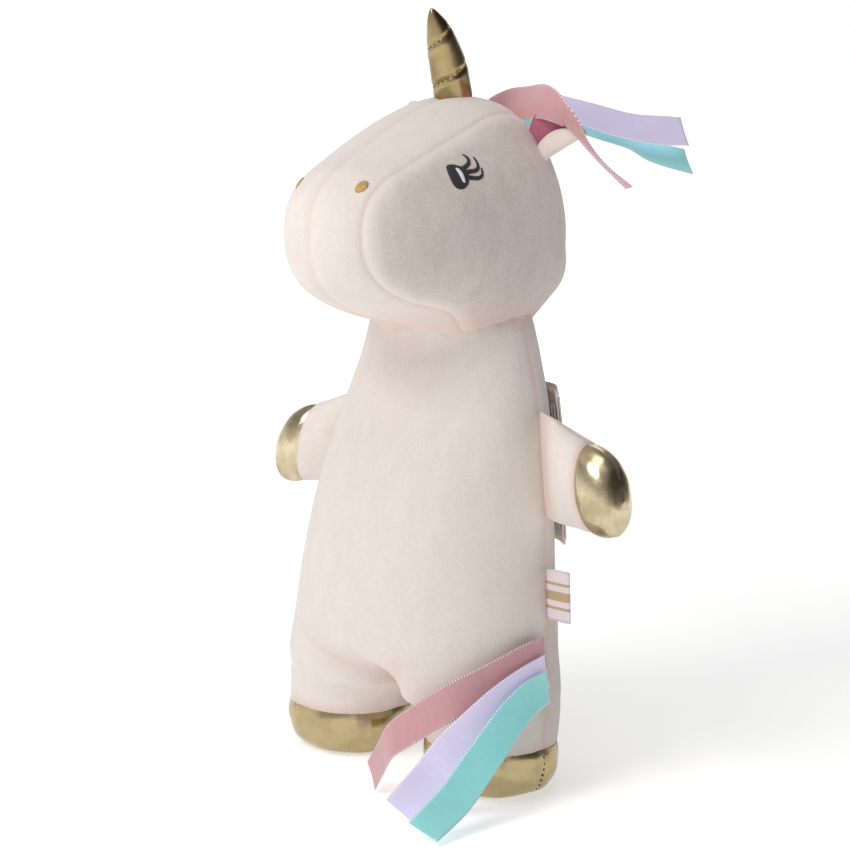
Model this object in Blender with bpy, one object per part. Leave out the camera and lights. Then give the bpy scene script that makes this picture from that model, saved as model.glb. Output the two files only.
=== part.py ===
"""Plush unicorn with a strap on its back that closes round a car's seat belt.

It stands on two stuffed feet, faces -Y, and has +Z up; its left side is at +X.
Every fabric piece is a thin closed shell, and the stuffing inside it is its own solid.
Sizes below are in millimetres and become metres when a mesh is made.
"""

from math import cos, pi, radians, sin

import bmesh
import bpy
import numpy as np

MM = 0.001

# ---- driving dimensions -------------------------------------------------------------
FABRIC = 1.6              # velour with its pile, and the coated gold cloth
GAP = 0.3                 # between touching pieces
SEAM_GAP = 0.3            # between two panels at their seam
MIDDLE_Y = -26.2          # puts the frame's origin under the middle of the whole toy

NECK_Z = 271.0            # height of the seam between head and torso
NECK_DOME = 12.0          # how far the torso's stuffing domes up into the head
CROTCH_Z = 50.0
LEG_BLEND = 36.0          # height over which the torso parts into two legs
LEG_DEPTH = (40.0, 30.0)  # a leg in front of its side seam and behind it
FOOT_SEAM_Z = 28.0        # top edge of the gold hoof covers on the feet
LEG_INNER_X = 20.0        # inner edge of a leg at the foot seam

HEAD_HALF_WIDTH = 64.0
HEAD_CENTRE = (-5.0, 325.0)          # y and z of the line that joins both cheeks
NECK_CUT = (87.9, 59.0, 44.0)        # half width, radius, and depth of its centre below the seam

HORN_RADIUS = 11.4
HORN_LENGTH = 54.0
HORN_LEAN = 16.0                     # degrees forward
HORN_Y = 1.0
HORN_SOCKET = 12.6

ARM_LENGTH = 66.0
ARM_Z = 188.0
ARM_HALF_HEIGHT = 31.0
ARM_HALF_THICKNESS = 15.5
ARM_GOLD = 0.60                      # share of the arm's length that is velour
ARM_DROOP = {"left": 9.0, "right": 13.0}
ARM_FORWARD = 8.0
ARM_STANDOFF = 3.2                   # the arm's hinge line lies this far outside the side seam

EAR_LENGTH = 31.0
EAR_HALF_WIDTH = 15.0
EAR_CURL = 140.0                     # degrees that the lower edge is folded forward and up
EAR_ROOT = (HEAD_HALF_WIDTH - 18.0, 24.0, 375.0)     # the left ear's, on the head
EAR_STANDOFF = 1.2
EAR_TIP = (0.88, 0.9)                # where along it the fold opens out, and by how much at the tip

RIBBON_WIDTH = 20.0
RIBBON_THICKNESS = 0.7

FLAP_Z = (141.0, 229.0)
FLAP_FABRIC = 1.1
FLAP_STANDOFF = 12.0                 # room for the belt under the flap
PATCH = 1.4                          # each half of the hook-and-loop closure
PATCH_Z = (149.0, 221.0)

LABEL_Z = (102.0, 130.0)
LABEL_REACH = 17.0
LABEL_THICKNESS = 0.6

# Height, half width at the side seam, depth in front of it and behind it, and the seam's own y.
TORSO = (
    (28.0, 98.5, 56.0, 38.0, -24.0),
    (48.0, 97.0, 62.0, 40.0, -20.5),
    (66.0, 95.0, 67.0, 39.0, -17.5),
    (96.0, 91.0, 70.5, 36.0, -13.0),
    (121.0, 86.5, 73.5, 32.5, -9.2),
    (146.0, 82.5, 74.0, 30.0, -5.2),
    (171.0, 79.0, 71.0, 29.0, -1.6),
    (196.0, 75.0, 62.0, 29.5, 0.2),
    (221.0, 70.5, 50.0, 30.5, 1.0),
    (246.0, 63.5, 40.0, 30.0, 1.5),
    (271.0, 56.0, 36.5, 28.5, 2.0),
)
SECTION_POWER = 2.3

# The head's outline in the middle plane, from the nape over the crown and face to the throat
# and back through the neck: y, z, and how far the centre panel's seam lies from the middle.
HEAD = (
    (40.0, 272.0, 0.0),
    (55.0, 284.0, 0.0),
    (64.0, 301.0, 0.0),
    (65.5, 322.0, 0.0),
    (60.5, 346.0, 0.0),
    (51.0, 367.0, 12.0),
    (39.0, 384.0, 26.0),
    (19.0, 396.0, 33.0),
    (-6.0, 397.5, 36.0),
    (-32.0, 390.0, 38.0),
    (-57.0, 379.0, 37.0),
    (-80.0, 367.0, 35.0),
    (-98.0, 356.5, 33.0),
    (-110.0, 343.0, 32.0),
    (-114.5, 327.0, 32.0),
    (-114.0, 309.0, 33.0),
    (-105.0, 292.5, 35.0),
    (-87.0, 280.5, 37.0),
    (-64.0, 272.5, 39.0),
    (-42.0, 267.0, 40.0),
    (-15.0, 253.0, 26.0),
    (12.0, 253.0, 0.0),
)
HEAD_POWER_X, HEAD_POWER_K = 2.2, 2.4

COLOURS = {
    "velour": ((0.86, 0.76, 0.71), 0.9, 0.0),
    "stuffing": ((0.93, 0.92, 0.90), 1.0, 0.0),
    "gold": ((0.62, 0.46, 0.20), 0.35, 0.9),
    "rose_velour": ((0.50, 0.16, 0.24), 0.9, 0.0),
    "rose_satin": ((0.66, 0.34, 0.36), 0.4, 0.0),
    "lilac_satin": ((0.62, 0.54, 0.76), 0.4, 0.0),
    "turquoise_satin": ((0.26, 0.62, 0.58), 0.4, 0.0),
    "black_thread": ((0.02, 0.02, 0.03), 0.6, 0.0),
    "white_thread": ((0.85, 0.85, 0.88), 0.6, 0.0),
    "gold_thread": ((0.60, 0.42, 0.12), 0.5, 0.3),
    "hook_tape": ((0.80, 0.72, 0.68), 0.8, 0.0),
    "label_satin": ((0.85, 0.74, 0.78), 0.5, 0.0),
}


# ---- small tools --------------------------------------------------------------------
def smooth(value, start, end):
    """0 at start, 1 at end, with level ends."""
    share = np.clip((value - start) / (end - start), 0, 1)
    return share * share * (3 - 2 * share)


def curve_through(points, samples, closed=False):
    """Points read evenly in parameter from a Catmull-Rom curve through the given ones."""
    p = np.array(points, float)
    if closed:
        p = np.vstack([p[-1], p, p[0], p[1]])
    else:
        p = np.vstack([2 * p[0] - p[1], p, 2 * p[-1] - p[-2]])
    u = np.asarray(samples, float)
    i = np.minimum(u.astype(int), len(p) - 4)
    f = (u - i)[:, None]
    a, b, c, d = p[i], p[i + 1], p[i + 2], p[i + 3]
    return b + 0.5 * f * (c - a + f * (2 * a - 5 * b + 4 * c - d + f * (3 * (b - c) + d - a)))


def station(table, height):
    """One row of a table whose first column is the height, read smoothly at that height."""
    rows = np.array(table)
    at = np.interp(height, rows[:, 0], np.arange(len(rows)))
    return curve_through(rows, [at])[0]


def material(name):
    found = bpy.data.materials.get(name)
    if found:
        return found
    colour, roughness, metallic = COLOURS[name]
    found = bpy.data.materials.new(name)
    found.use_nodes = True
    shader = found.node_tree.nodes["Principled BSDF"]
    shader.inputs["Base Color"].default_value = (*colour, 1)
    shader.inputs["Roughness"].default_value = roughness
    shader.inputs["Metallic"].default_value = metallic
    found.diffuse_color = (*colour, 1)
    return found


def group(name, place=(0, 0, 0), parent=None):
    empty = bpy.data.objects.new(name, None)
    bpy.context.scene.collection.objects.link(empty)
    empty.parent = parent
    empty.location = [v * MM for v in place]
    return empty


def faces_of(grids):
    """Points, faces and boundary edges of several grids, with points that coincide made one."""
    points = np.vstack([g.reshape(-1, 3) for g in grids])
    _, first, index = np.unique(np.round(points, 3), axis=0, return_index=True, return_inverse=True)
    index = index.reshape(-1)
    faces, start = [], 0
    for g in grids:
        rows, cols = g.shape[:2]
        for r in range(rows - 1):
            for c in range(cols - 1):
                at = start + r * cols + c
                ring = [index[at], index[at + 1], index[at + cols + 1], index[at + cols]]
                halves = ([ring[0], ring[1], ring[2]], [ring[0], ring[2], ring[3]])
                faces += [half for half in halves if len(set(half)) == 3]
        start += rows * cols
    used = {}
    for ring in faces:
        for k, v in enumerate(ring):
            used.setdefault(frozenset((v, ring[k - 1])), []).append((ring[k - 1], v))
    edges = [pairs[0] for pairs in used.values() if len(pairs) == 1]
    return first, faces, edges


def layer_list(layer):
    return layer if isinstance(layer, list) else [layer]


def offset(skin, depth):
    """The same grids, moved inward by depth along the normals of the whole skin they make up.
    On a seam, where the skin's faces meet, both keep the same points."""
    grids = [g for layer in skin.values() for g in layer_list(layer)]
    first, faces, _ = faces_of(grids)
    points = np.vstack([g.reshape(-1, 3) for g in grids])
    _, index = np.unique(np.round(points, 3), axis=0, return_inverse=True)
    index = index.reshape(-1)
    mesh = bpy.data.meshes.new("skin")
    bm = bmesh.new()
    verts = [bm.verts.new(p) for p in points[first]]
    for ring in faces:
        bm.faces.new([verts[v] for v in ring])
    bmesh.ops.recalc_face_normals(bm, faces=bm.faces)
    bm.normal_update()
    bm.to_mesh(mesh)
    bm.free()
    normals = np.array([v.normal for v in mesh.vertices])
    middle = points[first].mean(0)
    if np.sum((points[first] - middle) * normals) < 0:
        normals = -normals
    moved = (points[first] - depth * normals)[index]
    bpy.data.meshes.remove(mesh)
    made, start = {}, 0
    for key, layer in skin.items():
        shifted = []
        for g in layer_list(layer):
            count = g.shape[0] * g.shape[1]
            shifted.append(moved[start:start + count].reshape(g.shape))
            start += count
        made[key] = shifted if isinstance(layer, list) else shifted[0]
    return made


def add_object(name, points, faces, slot, parent, origin=(0, 0, 0)):
    """A closed mesh object whose own origin is at the given place."""
    mesh = bpy.data.meshes.new(name)
    bm = bmesh.new()
    verts = [bm.verts.new([(v - o) * MM for v, o in zip(p, origin)]) for p in points]
    for ring in faces:
        bm.faces.new([verts[v] for v in ring])
    bmesh.ops.delete(bm, geom=[v for v in bm.verts if not v.link_faces], context="VERTS")
    bmesh.ops.recalc_face_normals(bm, faces=bm.faces)
    bm.to_mesh(mesh)
    bm.free()
    mesh.materials.append(material(slot))
    mesh.shade_smooth()
    mesh.set_sharp_from_angle(angle=radians(50))
    made = bpy.data.objects.new(name, mesh)
    bpy.context.scene.collection.objects.link(made)
    made.parent = parent
    made.location = [(o - q) * MM for o, q in zip(origin, parent["place"])]
    return made


def shell(name, outer, inner, slot, parent, origin=(0, 0, 0)):
    """A sheet with thickness: the outer grids, the inner ones, and walls along every edge."""
    first, faces, edges = faces_of(outer)
    out = np.vstack([g.reshape(-1, 3) for g in outer])[first]
    back = np.vstack([g.reshape(-1, 3) for g in inner])[first]
    n = len(out)
    faces = faces + [[v + n for v in reversed(ring)] for ring in faces]
    faces += [[b, a, a + n, b + n] for a, b in edges]
    return add_object(name, np.vstack([out, back]), faces, slot, parent, origin)


def closed(name, grids, slot, parent, origin=(0, 0, 0)):
    """A solid whose whole surface is the given grids, which meet along their edges."""
    first, faces, _ = faces_of(grids)
    points = np.vstack([g.reshape(-1, 3) for g in grids])[first]
    return add_object(name, points, faces, slot, parent, origin)


def cut(obj, cutter):
    cutter.hide_render = True
    cutter.display_type = "WIRE"
    modifier = obj.modifiers.new("cut", "BOOLEAN")
    modifier.operation = "DIFFERENCE"
    modifier.object = cutter


def ball_cutter(name, centre, radii, parent):
    """An ellipsoid that cuts a socket."""
    mesh = bpy.data.meshes.new(name)
    bm = bmesh.new()
    bmesh.ops.create_uvsphere(bm, u_segments=40, v_segments=24, radius=1)
    bmesh.ops.scale(bm, vec=[r * MM for r in radii], verts=bm.verts)
    bm.to_mesh(mesh)
    bm.free()
    made = bpy.data.objects.new(name, mesh)
    bpy.context.scene.collection.objects.link(made)
    made.parent = parent
    made.location = [(c - q) * MM for c, q in zip(centre, parent["place"])]
    return made


def body(name, pivot, parent):
    """An empty on a joint, which the pieces that move together hang from."""
    empty = group(name, [a - b for a, b in zip(pivot, parent["place"] if parent else (0, 0, 0))], parent)
    empty["place"] = list(pivot)
    return empty


# ---- torso and legs -----------------------------------------------------------------
def arch(angle, half, depth, power=SECTION_POWER):
    """A point on a rounded half section: half wide, depth deep."""
    c, s = np.cos(angle), np.sin(angle)
    return half * np.sign(c) * np.abs(c) ** (2 / power), depth * np.abs(s) ** (2 / power)


def torso_point(z, t, face, lift=0.0):
    """One point of the left half, t from the side seam (0) to the middle or the inner leg seam (1).
    face is -1 in front and 1 behind, and lift is the height above the cloth."""
    _, wide, front, back, seam_y = station(TORSO, z)
    wide, deep = wide + lift, (front if face < 0 else back) + lift
    rise = np.clip((z - CROTCH_Z) / LEG_BLEND, 0, 1)
    part = (1 - rise) ** 2 * (1 + 0.5 * rise)
    under = np.clip((CROTCH_Z - z) / (CROTCH_Z - FOOT_SEAM_Z), 0, 1)
    inner = LEG_INNER_X * np.sqrt(1 - (1 - under) ** 2)
    x0, y0 = arch(t * pi / 2, wide, deep)
    slim = 1 - smooth(z, FOOT_SEAM_Z, CROTCH_Z + LEG_BLEND)
    leg_deep = slim * LEG_DEPTH[0 if face < 0 else 1] + (1 - slim) * deep
    x1, y1 = arch(t * pi, (wide - inner) / 2, leg_deep)
    x = (1 - part) * x0 + part * (x1 + (wide + inner) / 2)
    y = (1 - part) * y0 + part * y1
    return x, seam_y + face * y, z


def foot_point(row, t, face):
    """One point of the left foot, on a row of FOOT_PROFILE."""
    share, height = FOOT_PROFILE[row]
    _, wide, _, _, seam_y = station(TORSO, FOOT_SEAM_Z)
    deep = LEG_DEPTH[0 if face < 0 else 1]
    x, y = arch(t * pi, (wide - LEG_INNER_X) / 2 * max(share, FOOT_SOLE), deep * share)
    return x + (wide + LEG_INNER_X) / 2, seam_y + face * y, height


FOOT_SOLE = 0.62          # the flat sole, as a share of the foot
FOOT_PROFILE = (
    (1.0, FOOT_SEAM_Z), (1.015, 20.0), (0.99, 12.5), (0.93, 6.5), (0.84, 2.4), (0.74, 0.5),
    (FOOT_SOLE, 0.0), (0.31, 0.0), (0.0, 0.0),
)
STEPS = np.linspace(0, 1, 9)


def both_sides(grid):
    return [grid, grid * np.array([-1.0, 1.0, 1.0])]


def torso_skin():
    """The torso's outer surface: for each face its body and legs, then each foot's hoof cover."""
    top = NECK_Z - GAP
    heights = np.concatenate([np.linspace(CROTCH_Z, CROTCH_Z + LEG_BLEND, 6),
                              np.linspace(CROTCH_Z + LEG_BLEND, top, 9)[1:]])
    rise = np.sin(np.linspace(0, pi / 2, 5))
    low = FOOT_SEAM_Z + (CROTCH_Z - FOOT_SEAM_Z) * rise
    skin = {}
    for face, word in ((-1, "front"), (1, "back")):
        upper = np.array([[torso_point(z, t, face) for t in STEPS] for z in heights])
        legs = np.array([[torso_point(z, t, face) for t in STEPS] for z in low])
        foot = np.array([[foot_point(r, t, face) for t in STEPS] for r in range(len(FOOT_PROFILE))])
        skin[word] = both_sides(upper) + both_sides(legs)
        skin[f"left_{word}"], skin[f"right_{word}"] = both_sides(foot)
    return skin


def neck_cap(rim):
    """The dome of stuffing that fills the neck above the seam, from its rim's grid row."""
    seam_y = station(TORSO, NECK_Z)[4]
    rows = []
    for s in (1.0, 0.8, 0.55, 0.28, 0.0):
        x, y = rim[:, 0] * s, seam_y + (rim[:, 1] - seam_y) * s
        rows.append(np.stack([x, y, rim[:, 2] * s * s + (NECK_Z + NECK_DOME) * (1 - s * s)], 1))
    return np.array(rows)


def build_torso(torso):
    skin = torso_skin()
    inner = offset(skin, FABRIC)
    for face, word in ((-1, "front"), (1, "back")):
        part = np.array([0, face * SEAM_GAP / 2, 0])
        raised = [[g + part for g in layer[word]] for layer in (skin, inner)]
        for grids in raised:
            for g in grids[2:]:
                g[0, :, 2] = FOOT_SEAM_Z + SEAM_GAP / 2
        shell(f"torso_{word}_panel", *raised, "velour", torso)
        for side in ("left", "right"):
            cover = [[layer[f"{side}_{word}"] + part] for layer in (skin, inner)]
            for grids in cover:
                grids[0][0, :, 2] = FOOT_SEAM_Z - SEAM_GAP / 2
            shell(f"foot_{side}_hoof_{word}", *cover, "gold", torso)
    filling = offset(skin, FABRIC + GAP)
    grids = [g for layer in filling.values() for g in layer_list(layer)]
    caps = [neck_cap(g[-1]) for word in ("front", "back") for g in filling[word][:2]]
    closed("torso_stuffing", grids + caps, "stuffing", torso)


# ---- head ---------------------------------------------------------------------------
def head_point(s, x):
    """One point of the head: s along the outline, x the distance from the middle plane."""
    y, z, _ = curve_through(HEAD, [s % len(HEAD)], closed=True)[0]
    cy, cz = HEAD_CENTRE
    k = (1 - min(1.0, abs(x) / HEAD_HALF_WIDTH) ** HEAD_POWER_X) ** (1 / HEAD_POWER_K)
    return x, cy + (y - cy) * k, cz + (z - cz) * k


def seam_x(s):
    """How far the centre panel's seam lies from the middle plane."""
    if not PANEL_START < s < PANEL_END:
        return 0.0
    return max(0.0, curve_through(HEAD, [s % len(HEAD)], closed=True)[0][2])


PANEL_START, PANEL_END = 4, 21
ROUND_STEPS = np.concatenate([np.linspace(0, PANEL_START, 7)[:-1], np.linspace(PANEL_START, PANEL_END, 37)])


def head_skin(seam):
    """The head's outer surface with a gap at each seam: the centre panel and both cheeks."""
    centre = []
    for s in ROUND_STEPS[6:]:
        half = max(0.0, seam_x(s) - seam / 2)
        centre.append([head_point(s, f * half) for f in np.linspace(-1, 1, 7)])
    cheek = []
    for s in np.append(ROUND_STEPS, len(HEAD)):
        start = np.arcsin((seam_x(s) + seam / 2) / HEAD_HALF_WIDTH)
        xs = HEAD_HALF_WIDTH * np.sin(np.linspace(start, pi / 2, 8))
        cheek.append([head_point(s, x) for x in xs])
    left, right = both_sides(np.array(cheek))
    return {"centre": np.array(centre), "left": left, "right": right}


STITCH_LOW, STITCH_HIGH = 0.25, 0.8       # embroidery's lower and upper face above the cloth


def head_frame(centre, up):
    """A place (s, x) on the head, and its directions across, up and outward."""
    here = np.array(head_point(centre[0], centre[1]))
    ds = np.array(head_point(centre[0] + 0.05, centre[1])) - np.array(head_point(centre[0] - 0.05, centre[1]))
    dx = np.array(head_point(centre[0], centre[1] + 0.5)) - np.array(head_point(centre[0], centre[1] - 0.5))
    normal = np.cross(ds, dx)
    normal *= np.sign(normal @ (here - np.array([0, *HEAD_CENTRE]))) / np.linalg.norm(normal)
    upward = np.array(up, float) - normal * (np.array(up) @ normal)
    upward /= np.linalg.norm(upward)
    return here, np.cross(upward, normal), upward, normal


def surface_patch(name, outline, centre, up, slot, parent, low=STITCH_LOW, high=STITCH_HIGH, side=1):
    """Embroidery: a flat outline laid on the head, filled from its middle."""
    here, across, upward, normal = head_frame(centre, up)
    spots = [here + across * a + upward * b for a, b in outline]
    middle = here + across * np.mean([a for a, _ in outline]) + upward * np.mean([b for _, b in outline])
    layers = []
    for lift in (low, high):
        ring = np.array([drop_on_head(p) + normal * lift for p in spots])
        layers.append((ring, drop_on_head(middle) + normal * lift))
    turn = np.array([side, 1.0, 1.0])
    n = len(spots)
    points = np.vstack([layers[0][0], [layers[0][1]], layers[1][0], [layers[1][1]]]) * turn
    faces = []
    for k in range(n):
        j = (k + 1) % n
        faces += [[j, k, n], [n + 1 + k, n + 1 + j, 2 * n + 1], [k, j, n + 1 + j, n + 1 + k]]
    return add_object(name, points, faces, slot, parent)


def drop_on_head(p):
    """The point of the head's outer surface on the line from the cheek line through p."""
    x = p[0]
    cy, cz = HEAD_CENTRE
    want = np.arctan2(p[2] - cz, p[1] - cy)
    ring = curve_through(HEAD, np.linspace(0, len(HEAD), 441)[:-1], closed=True)
    angle = np.arctan2(ring[:, 1] - cz, ring[:, 0] - cy)
    i = int(np.argmin(np.abs(np.angle(np.exp(1j * (angle - want))))))
    s = i * len(HEAD) / 440
    for _ in range(4):
        y, z, _ = curve_through(HEAD, [s % len(HEAD)], closed=True)[0]
        y1, z1, _ = curve_through(HEAD, [(s + 0.01) % len(HEAD)], closed=True)[0]
        miss = np.angle(np.exp(1j * (want - np.arctan2(z - cz, y - cy))))
        slope = np.angle(np.exp(1j * (np.arctan2(z1 - cz, y1 - cy) - np.arctan2(z - cz, y - cy)))) / 0.01
        s += miss / slope
    return np.array(head_point(s, x))


def oval(half_wide, half_high, lean=0.0, centre=(0.0, 0.0), count=14):
    turn = radians(lean)
    ring = []
    for k in range(count):
        a, b = half_wide * cos(2 * pi * k / count), half_high * sin(2 * pi * k / count)
        ring.append((centre[0] + a * cos(turn) - b * sin(turn), centre[1] + a * sin(turn) + b * cos(turn)))
    return ring


def lash(name, points, wide, centre, up, parent, side):
    """Embroidery along a curve: a tapering strip, so that it never folds over its own middle."""
    line = curve_through([(*p, 0.0) for p in points], np.linspace(0, len(points) - 1, 6))[:, :2]
    run = np.gradient(line, axis=0)
    beside = np.stack([-run[:, 1], run[:, 0]], 1) / np.linalg.norm(run, axis=1)[:, None]
    width = wide * np.linspace(1, 0.35, len(line))[:, None] / 2
    here, across, upward, normal = head_frame(centre, up)
    layers = []
    for lift in (STITCH_HIGH, STITCH_LOW):
        rows = [[drop_on_head(here + across * a + upward * b) + normal * lift for a, b in pair]
                for pair in np.stack([line + beside * width, line - beside * width], 1)]
        layers.append(np.array(rows) * np.array([side, 1.0, 1.0]))
    shell(name, [layers[0]], [layers[1]], "black_thread", parent)


EYE_AT = (10.62, 52.0)
NOSTRIL_AT = (12.35, 25.5)
EYE_OUTLINE = (
    (-7.0, 4.0), (-6.0, 6.0), (-3.4, 6.8), (0.2, 6.6), (3.6, 6.2), (6.2, 3.6), (7.2, 0.0),
    (6.4, -4.2), (3.8, -7.4), (0.4, -8.4), (-2.4, -7.0), (-4.6, -3.4), (-6.2, 0.6),
)
GLINT_OUTLINE = ((-1.8, 3.8), (-0.2, 4.2), (2.4, 1.8), (4.2, -3.0), (3.4, -3.8), (2.2, -3.0), (0.4, 0.4))
LASH_WIDTH = 2.4
LASHES = (
    ("upper", ((4.2, 6.9), (6.6, 9.6), (6.0, 13.0), (3.2, 15.0))),
    ("middle", ((8.0, 4.8), (11.6, 6.6), (12.2, 10.4), (9.8, 14.4))),
    ("lower", ((8.6, 1.0), (12.4, 1.6), (15.2, 4.2), (14.6, 8.6))),
)


def build_head(head):
    cutter = ball_cutter("neck_cutter", (0, 2.0, NECK_Z - NECK_CUT[2]),
                         (NECK_CUT[0], NECK_CUT[1], NECK_CUT[1]), head)
    socket = ball_cutter("horn_socket_cutter", (0, HORN_Y, horn_base_z()), [HORN_SOCKET] * 3, head)
    whole = head_skin(0.0)
    inner, filling = offset(whole, FABRIC), offset(whole, FABRIC + GAP)
    parted = head_skin(SEAM_GAP)
    for word in ("centre", "left", "right"):
        lining = inner[word] + parted[word] - whole[word]
        panel = shell(f"head_{word}_panel", [parted[word]], [lining], "velour", head)
        cut(panel, cutter)
        if word == "centre":
            cut(panel, socket)
    core = closed("head_stuffing", list(filling.values()), "stuffing", head)
    cut(core, cutter)
    cut(core, socket)
    for side, sign in (("left", 1), ("right", -1)):
        up = (0, 0.25, 1)
        surface_patch(f"eye_{side}_iris", EYE_OUTLINE, EYE_AT, up, "black_thread", head, side=sign)
        surface_patch(f"eye_{side}_glint", GLINT_OUTLINE, EYE_AT, up, "white_thread", head,
                      low=1.1, high=1.5, side=sign)
        for word, points in LASHES:
            lash(f"eye_{side}_lash_{word}", points, LASH_WIDTH, EYE_AT, up, head, sign)
        surface_patch(f"nostril_{side}", oval(3.1, 4.6, -20), NOSTRIL_AT, (0, 0.6, 1), "gold_thread", head, side=sign)


# ---- horn ---------------------------------------------------------------------------
def horn_base_z():
    return head_point(7.72, 0)[2]


def horn_ring(distance, inset, count=12):
    """A ring of the horn at a distance along it, which curves forward a little."""
    share = distance / HORN_LENGTH
    lean = radians(HORN_LEAN) * (0.75 + 0.5 * share)
    centre = np.array([0, HORN_Y - sin(lean) * distance, horn_base_z() + cos(lean) * distance])
    blunt = max(0.0, 1 - share ** 2.6) ** 0.62
    radius = max(0.0, HORN_RADIUS * (0.97 + 0.12 * share - 0.28 * share * share) * blunt - inset)
    angle = np.linspace(0, 2 * pi, count + 1)
    side, fore = np.array([1.0, 0, 0]), np.array([0, -cos(lean), -sin(lean)])
    return centre + radius * (np.cos(angle)[:, None] * side + np.sin(angle)[:, None] * fore)


def build_horn(horn):
    steps = (0.0, 9.0, 18.0, 27.0, 36.0, 43.0, 49.0, 52.5)
    outer = [horn_ring(d, 0) for d in steps] + [np.repeat(horn_ring(HORN_LENGTH, 99)[:1], 13, 0)]
    inner = [horn_ring(d, FABRIC) for d in steps[:-1]]
    tip = np.repeat(horn_ring(HORN_LENGTH - 2 * FABRIC, 99)[:1], 13, 0)
    inner += [0.35 * inner[-1] + 0.65 * tip, tip]
    pivot = (0, HORN_Y, horn_base_z())
    shell("horn_cover", [np.array(outer)], [np.array(inner)], "gold", horn, pivot)
    inset = FABRIC + GAP
    rows = [horn_ring(d, inset) for d in steps[:-1]]
    tip = np.repeat(horn_ring(HORN_LENGTH - 2 * FABRIC - 2 * GAP, 99)[:1], 13, 0)
    rows += [0.4 * rows[-1] + 0.6 * tip, tip]
    base = rows[0]
    centre = base[:-1].mean(0)
    bottom = []
    for turn in (90, 65, 40, 18):
        a = radians(turn)
        bottom.append(centre + (base - centre) * cos(a) - np.array([0, 0, 1.0]) * (HORN_RADIUS - 1.2) * sin(a))
    closed("horn_stuffing", [np.array(bottom + rows)], "stuffing", horn, pivot)


# ---- arms ---------------------------------------------------------------------------
ARM_ROWS = (  # share of the length, half height, half thickness, both as shares of their largest
    (0.0, 1.0, 0.14), (0.10, 0.99, 0.38), (0.24, 0.94, 0.72), (0.42, 0.88, 0.93), (0.60, 0.845, 1.0),
    (0.74, 0.82, 0.98), (0.86, 0.73, 0.85), (0.94, 0.56, 0.64), (0.985, 0.30, 0.36), (1.0, 0.0, 0.0),
)


def side_line(low, high, standoff):
    """Two points just outside the left side seam, at two heights."""
    ends = []
    for z in (low, high):
        _, wide, _, _, seam_y = station(TORSO, z)
        ends.append(np.array([wide + standoff, seam_y, z]))
    return ends


def arm_frame(side):
    low, high = side_line(ARM_Z - ARM_HALF_HEIGHT, ARM_Z + ARM_HALF_HEIGHT, ARM_STANDOFF)
    middle = (low + high) / 2
    along = (high - low) / np.linalg.norm(high - low)
    droop, fore = radians(ARM_DROOP[side]), radians(ARM_FORWARD)
    out = np.array([cos(droop) * cos(fore), -sin(fore), -sin(droop)])
    front = np.cross(out, along)
    front /= np.linalg.norm(front)
    return middle, along, out, -front if front[1] > 0 else front


def arm_grid(side, face):
    """One face of an arm's outer surface, from its root to its tip; face 1 is the front."""
    middle, along, out, front = arm_frame(side)
    rows = []
    for share, high, thick in ARM_ROWS:
        angles = np.linspace(0, pi, 9)
        y, h = np.sin(angles) * thick * ARM_HALF_THICKNESS, np.cos(angles) * high * ARM_HALF_HEIGHT
        rows.append(middle + out * ARM_LENGTH * share + along * h[:, None] + face * front * y[:, None])
    return np.array(rows)


def off_the_seam(grid, middle, front):
    """Keeps a sleeve's inner surface on its own side of the seam, where the arm is pinched flat."""
    depth = (grid - middle) @ front
    grid[:, 1:-1] += front * np.maximum(0.3 - depth[:, 1:-1], 0)[..., None]
    return grid


def build_arm(arm, side):
    turn = np.array([1.0 if side == "left" else -1.0, 1.0, 1.0])
    skin = {face: arm_grid(side, face) * turn for face in (1, -1)}
    middle, _, out, front = arm_frame(side)
    inner, filling = offset(skin, FABRIC), offset(skin, FABRIC + GAP)
    gold = [row[0] for row in ARM_ROWS].index(ARM_GOLD)
    for face, word in ((1, "front"), (-1, "back")):
        part = face * front * turn * SEAM_GAP / 2
        seam = out * turn * SEAM_GAP / 2
        sleeve = [layer[face][:gold + 1] + part for layer in (skin, inner)]
        hoof = [layer[face][gold:] + part for layer in (skin, inner)]
        sleeve[1] = off_the_seam(sleeve[1], middle * turn, face * front * turn)
        for g in sleeve:
            g[-1] -= seam
        for g in hoof:
            g[0] += seam
        shell(f"arm_{side}_sleeve_{word}", [sleeve[0]], [sleeve[1]], "velour", arm)
        shell(f"arm_{side}_hoof_{word}", [hoof[0]], [hoof[1]], "gold", arm)
    faces = [filling[face][2:] for face in (1, -1)]
    root = np.array([faces[0][0], faces[1][0]])
    closed(f"arm_{side}_stuffing", faces + [root], "stuffing", arm)


# ---- ears ---------------------------------------------------------------------------
def ear_frame():
    """The left ear's root and its directions: along its root seam, out to the tip, and to the front."""
    seam = np.array([-0.47, -0.21, 0.86])
    seam /= np.linalg.norm(seam)
    out = np.array([0.83, 0.23, 0.51])
    out -= seam * (out @ seam)
    out /= np.linalg.norm(out)
    return np.array(EAR_ROOT) + out * EAR_STANDOFF, seam, out, np.cross(out, seam)


def ear_section(lift, curl):
    """The ear across its length: straight behind, then folded forward and up at its lower edge."""
    f = np.linspace(0, 1, 61)
    heading = radians(curl) * smooth(f, 0.35, 1.0)
    step = 2 / 60
    high = 1 - np.cumsum(np.cos(heading)) * step
    fore = np.cumsum(np.sin(heading)) * step
    pick = np.linspace(0, 60, 11).astype(int)
    side = np.stack([np.sin(heading), np.cos(heading)], 1) * lift
    return np.stack([high, fore], 1)[pick], side[pick]


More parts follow.
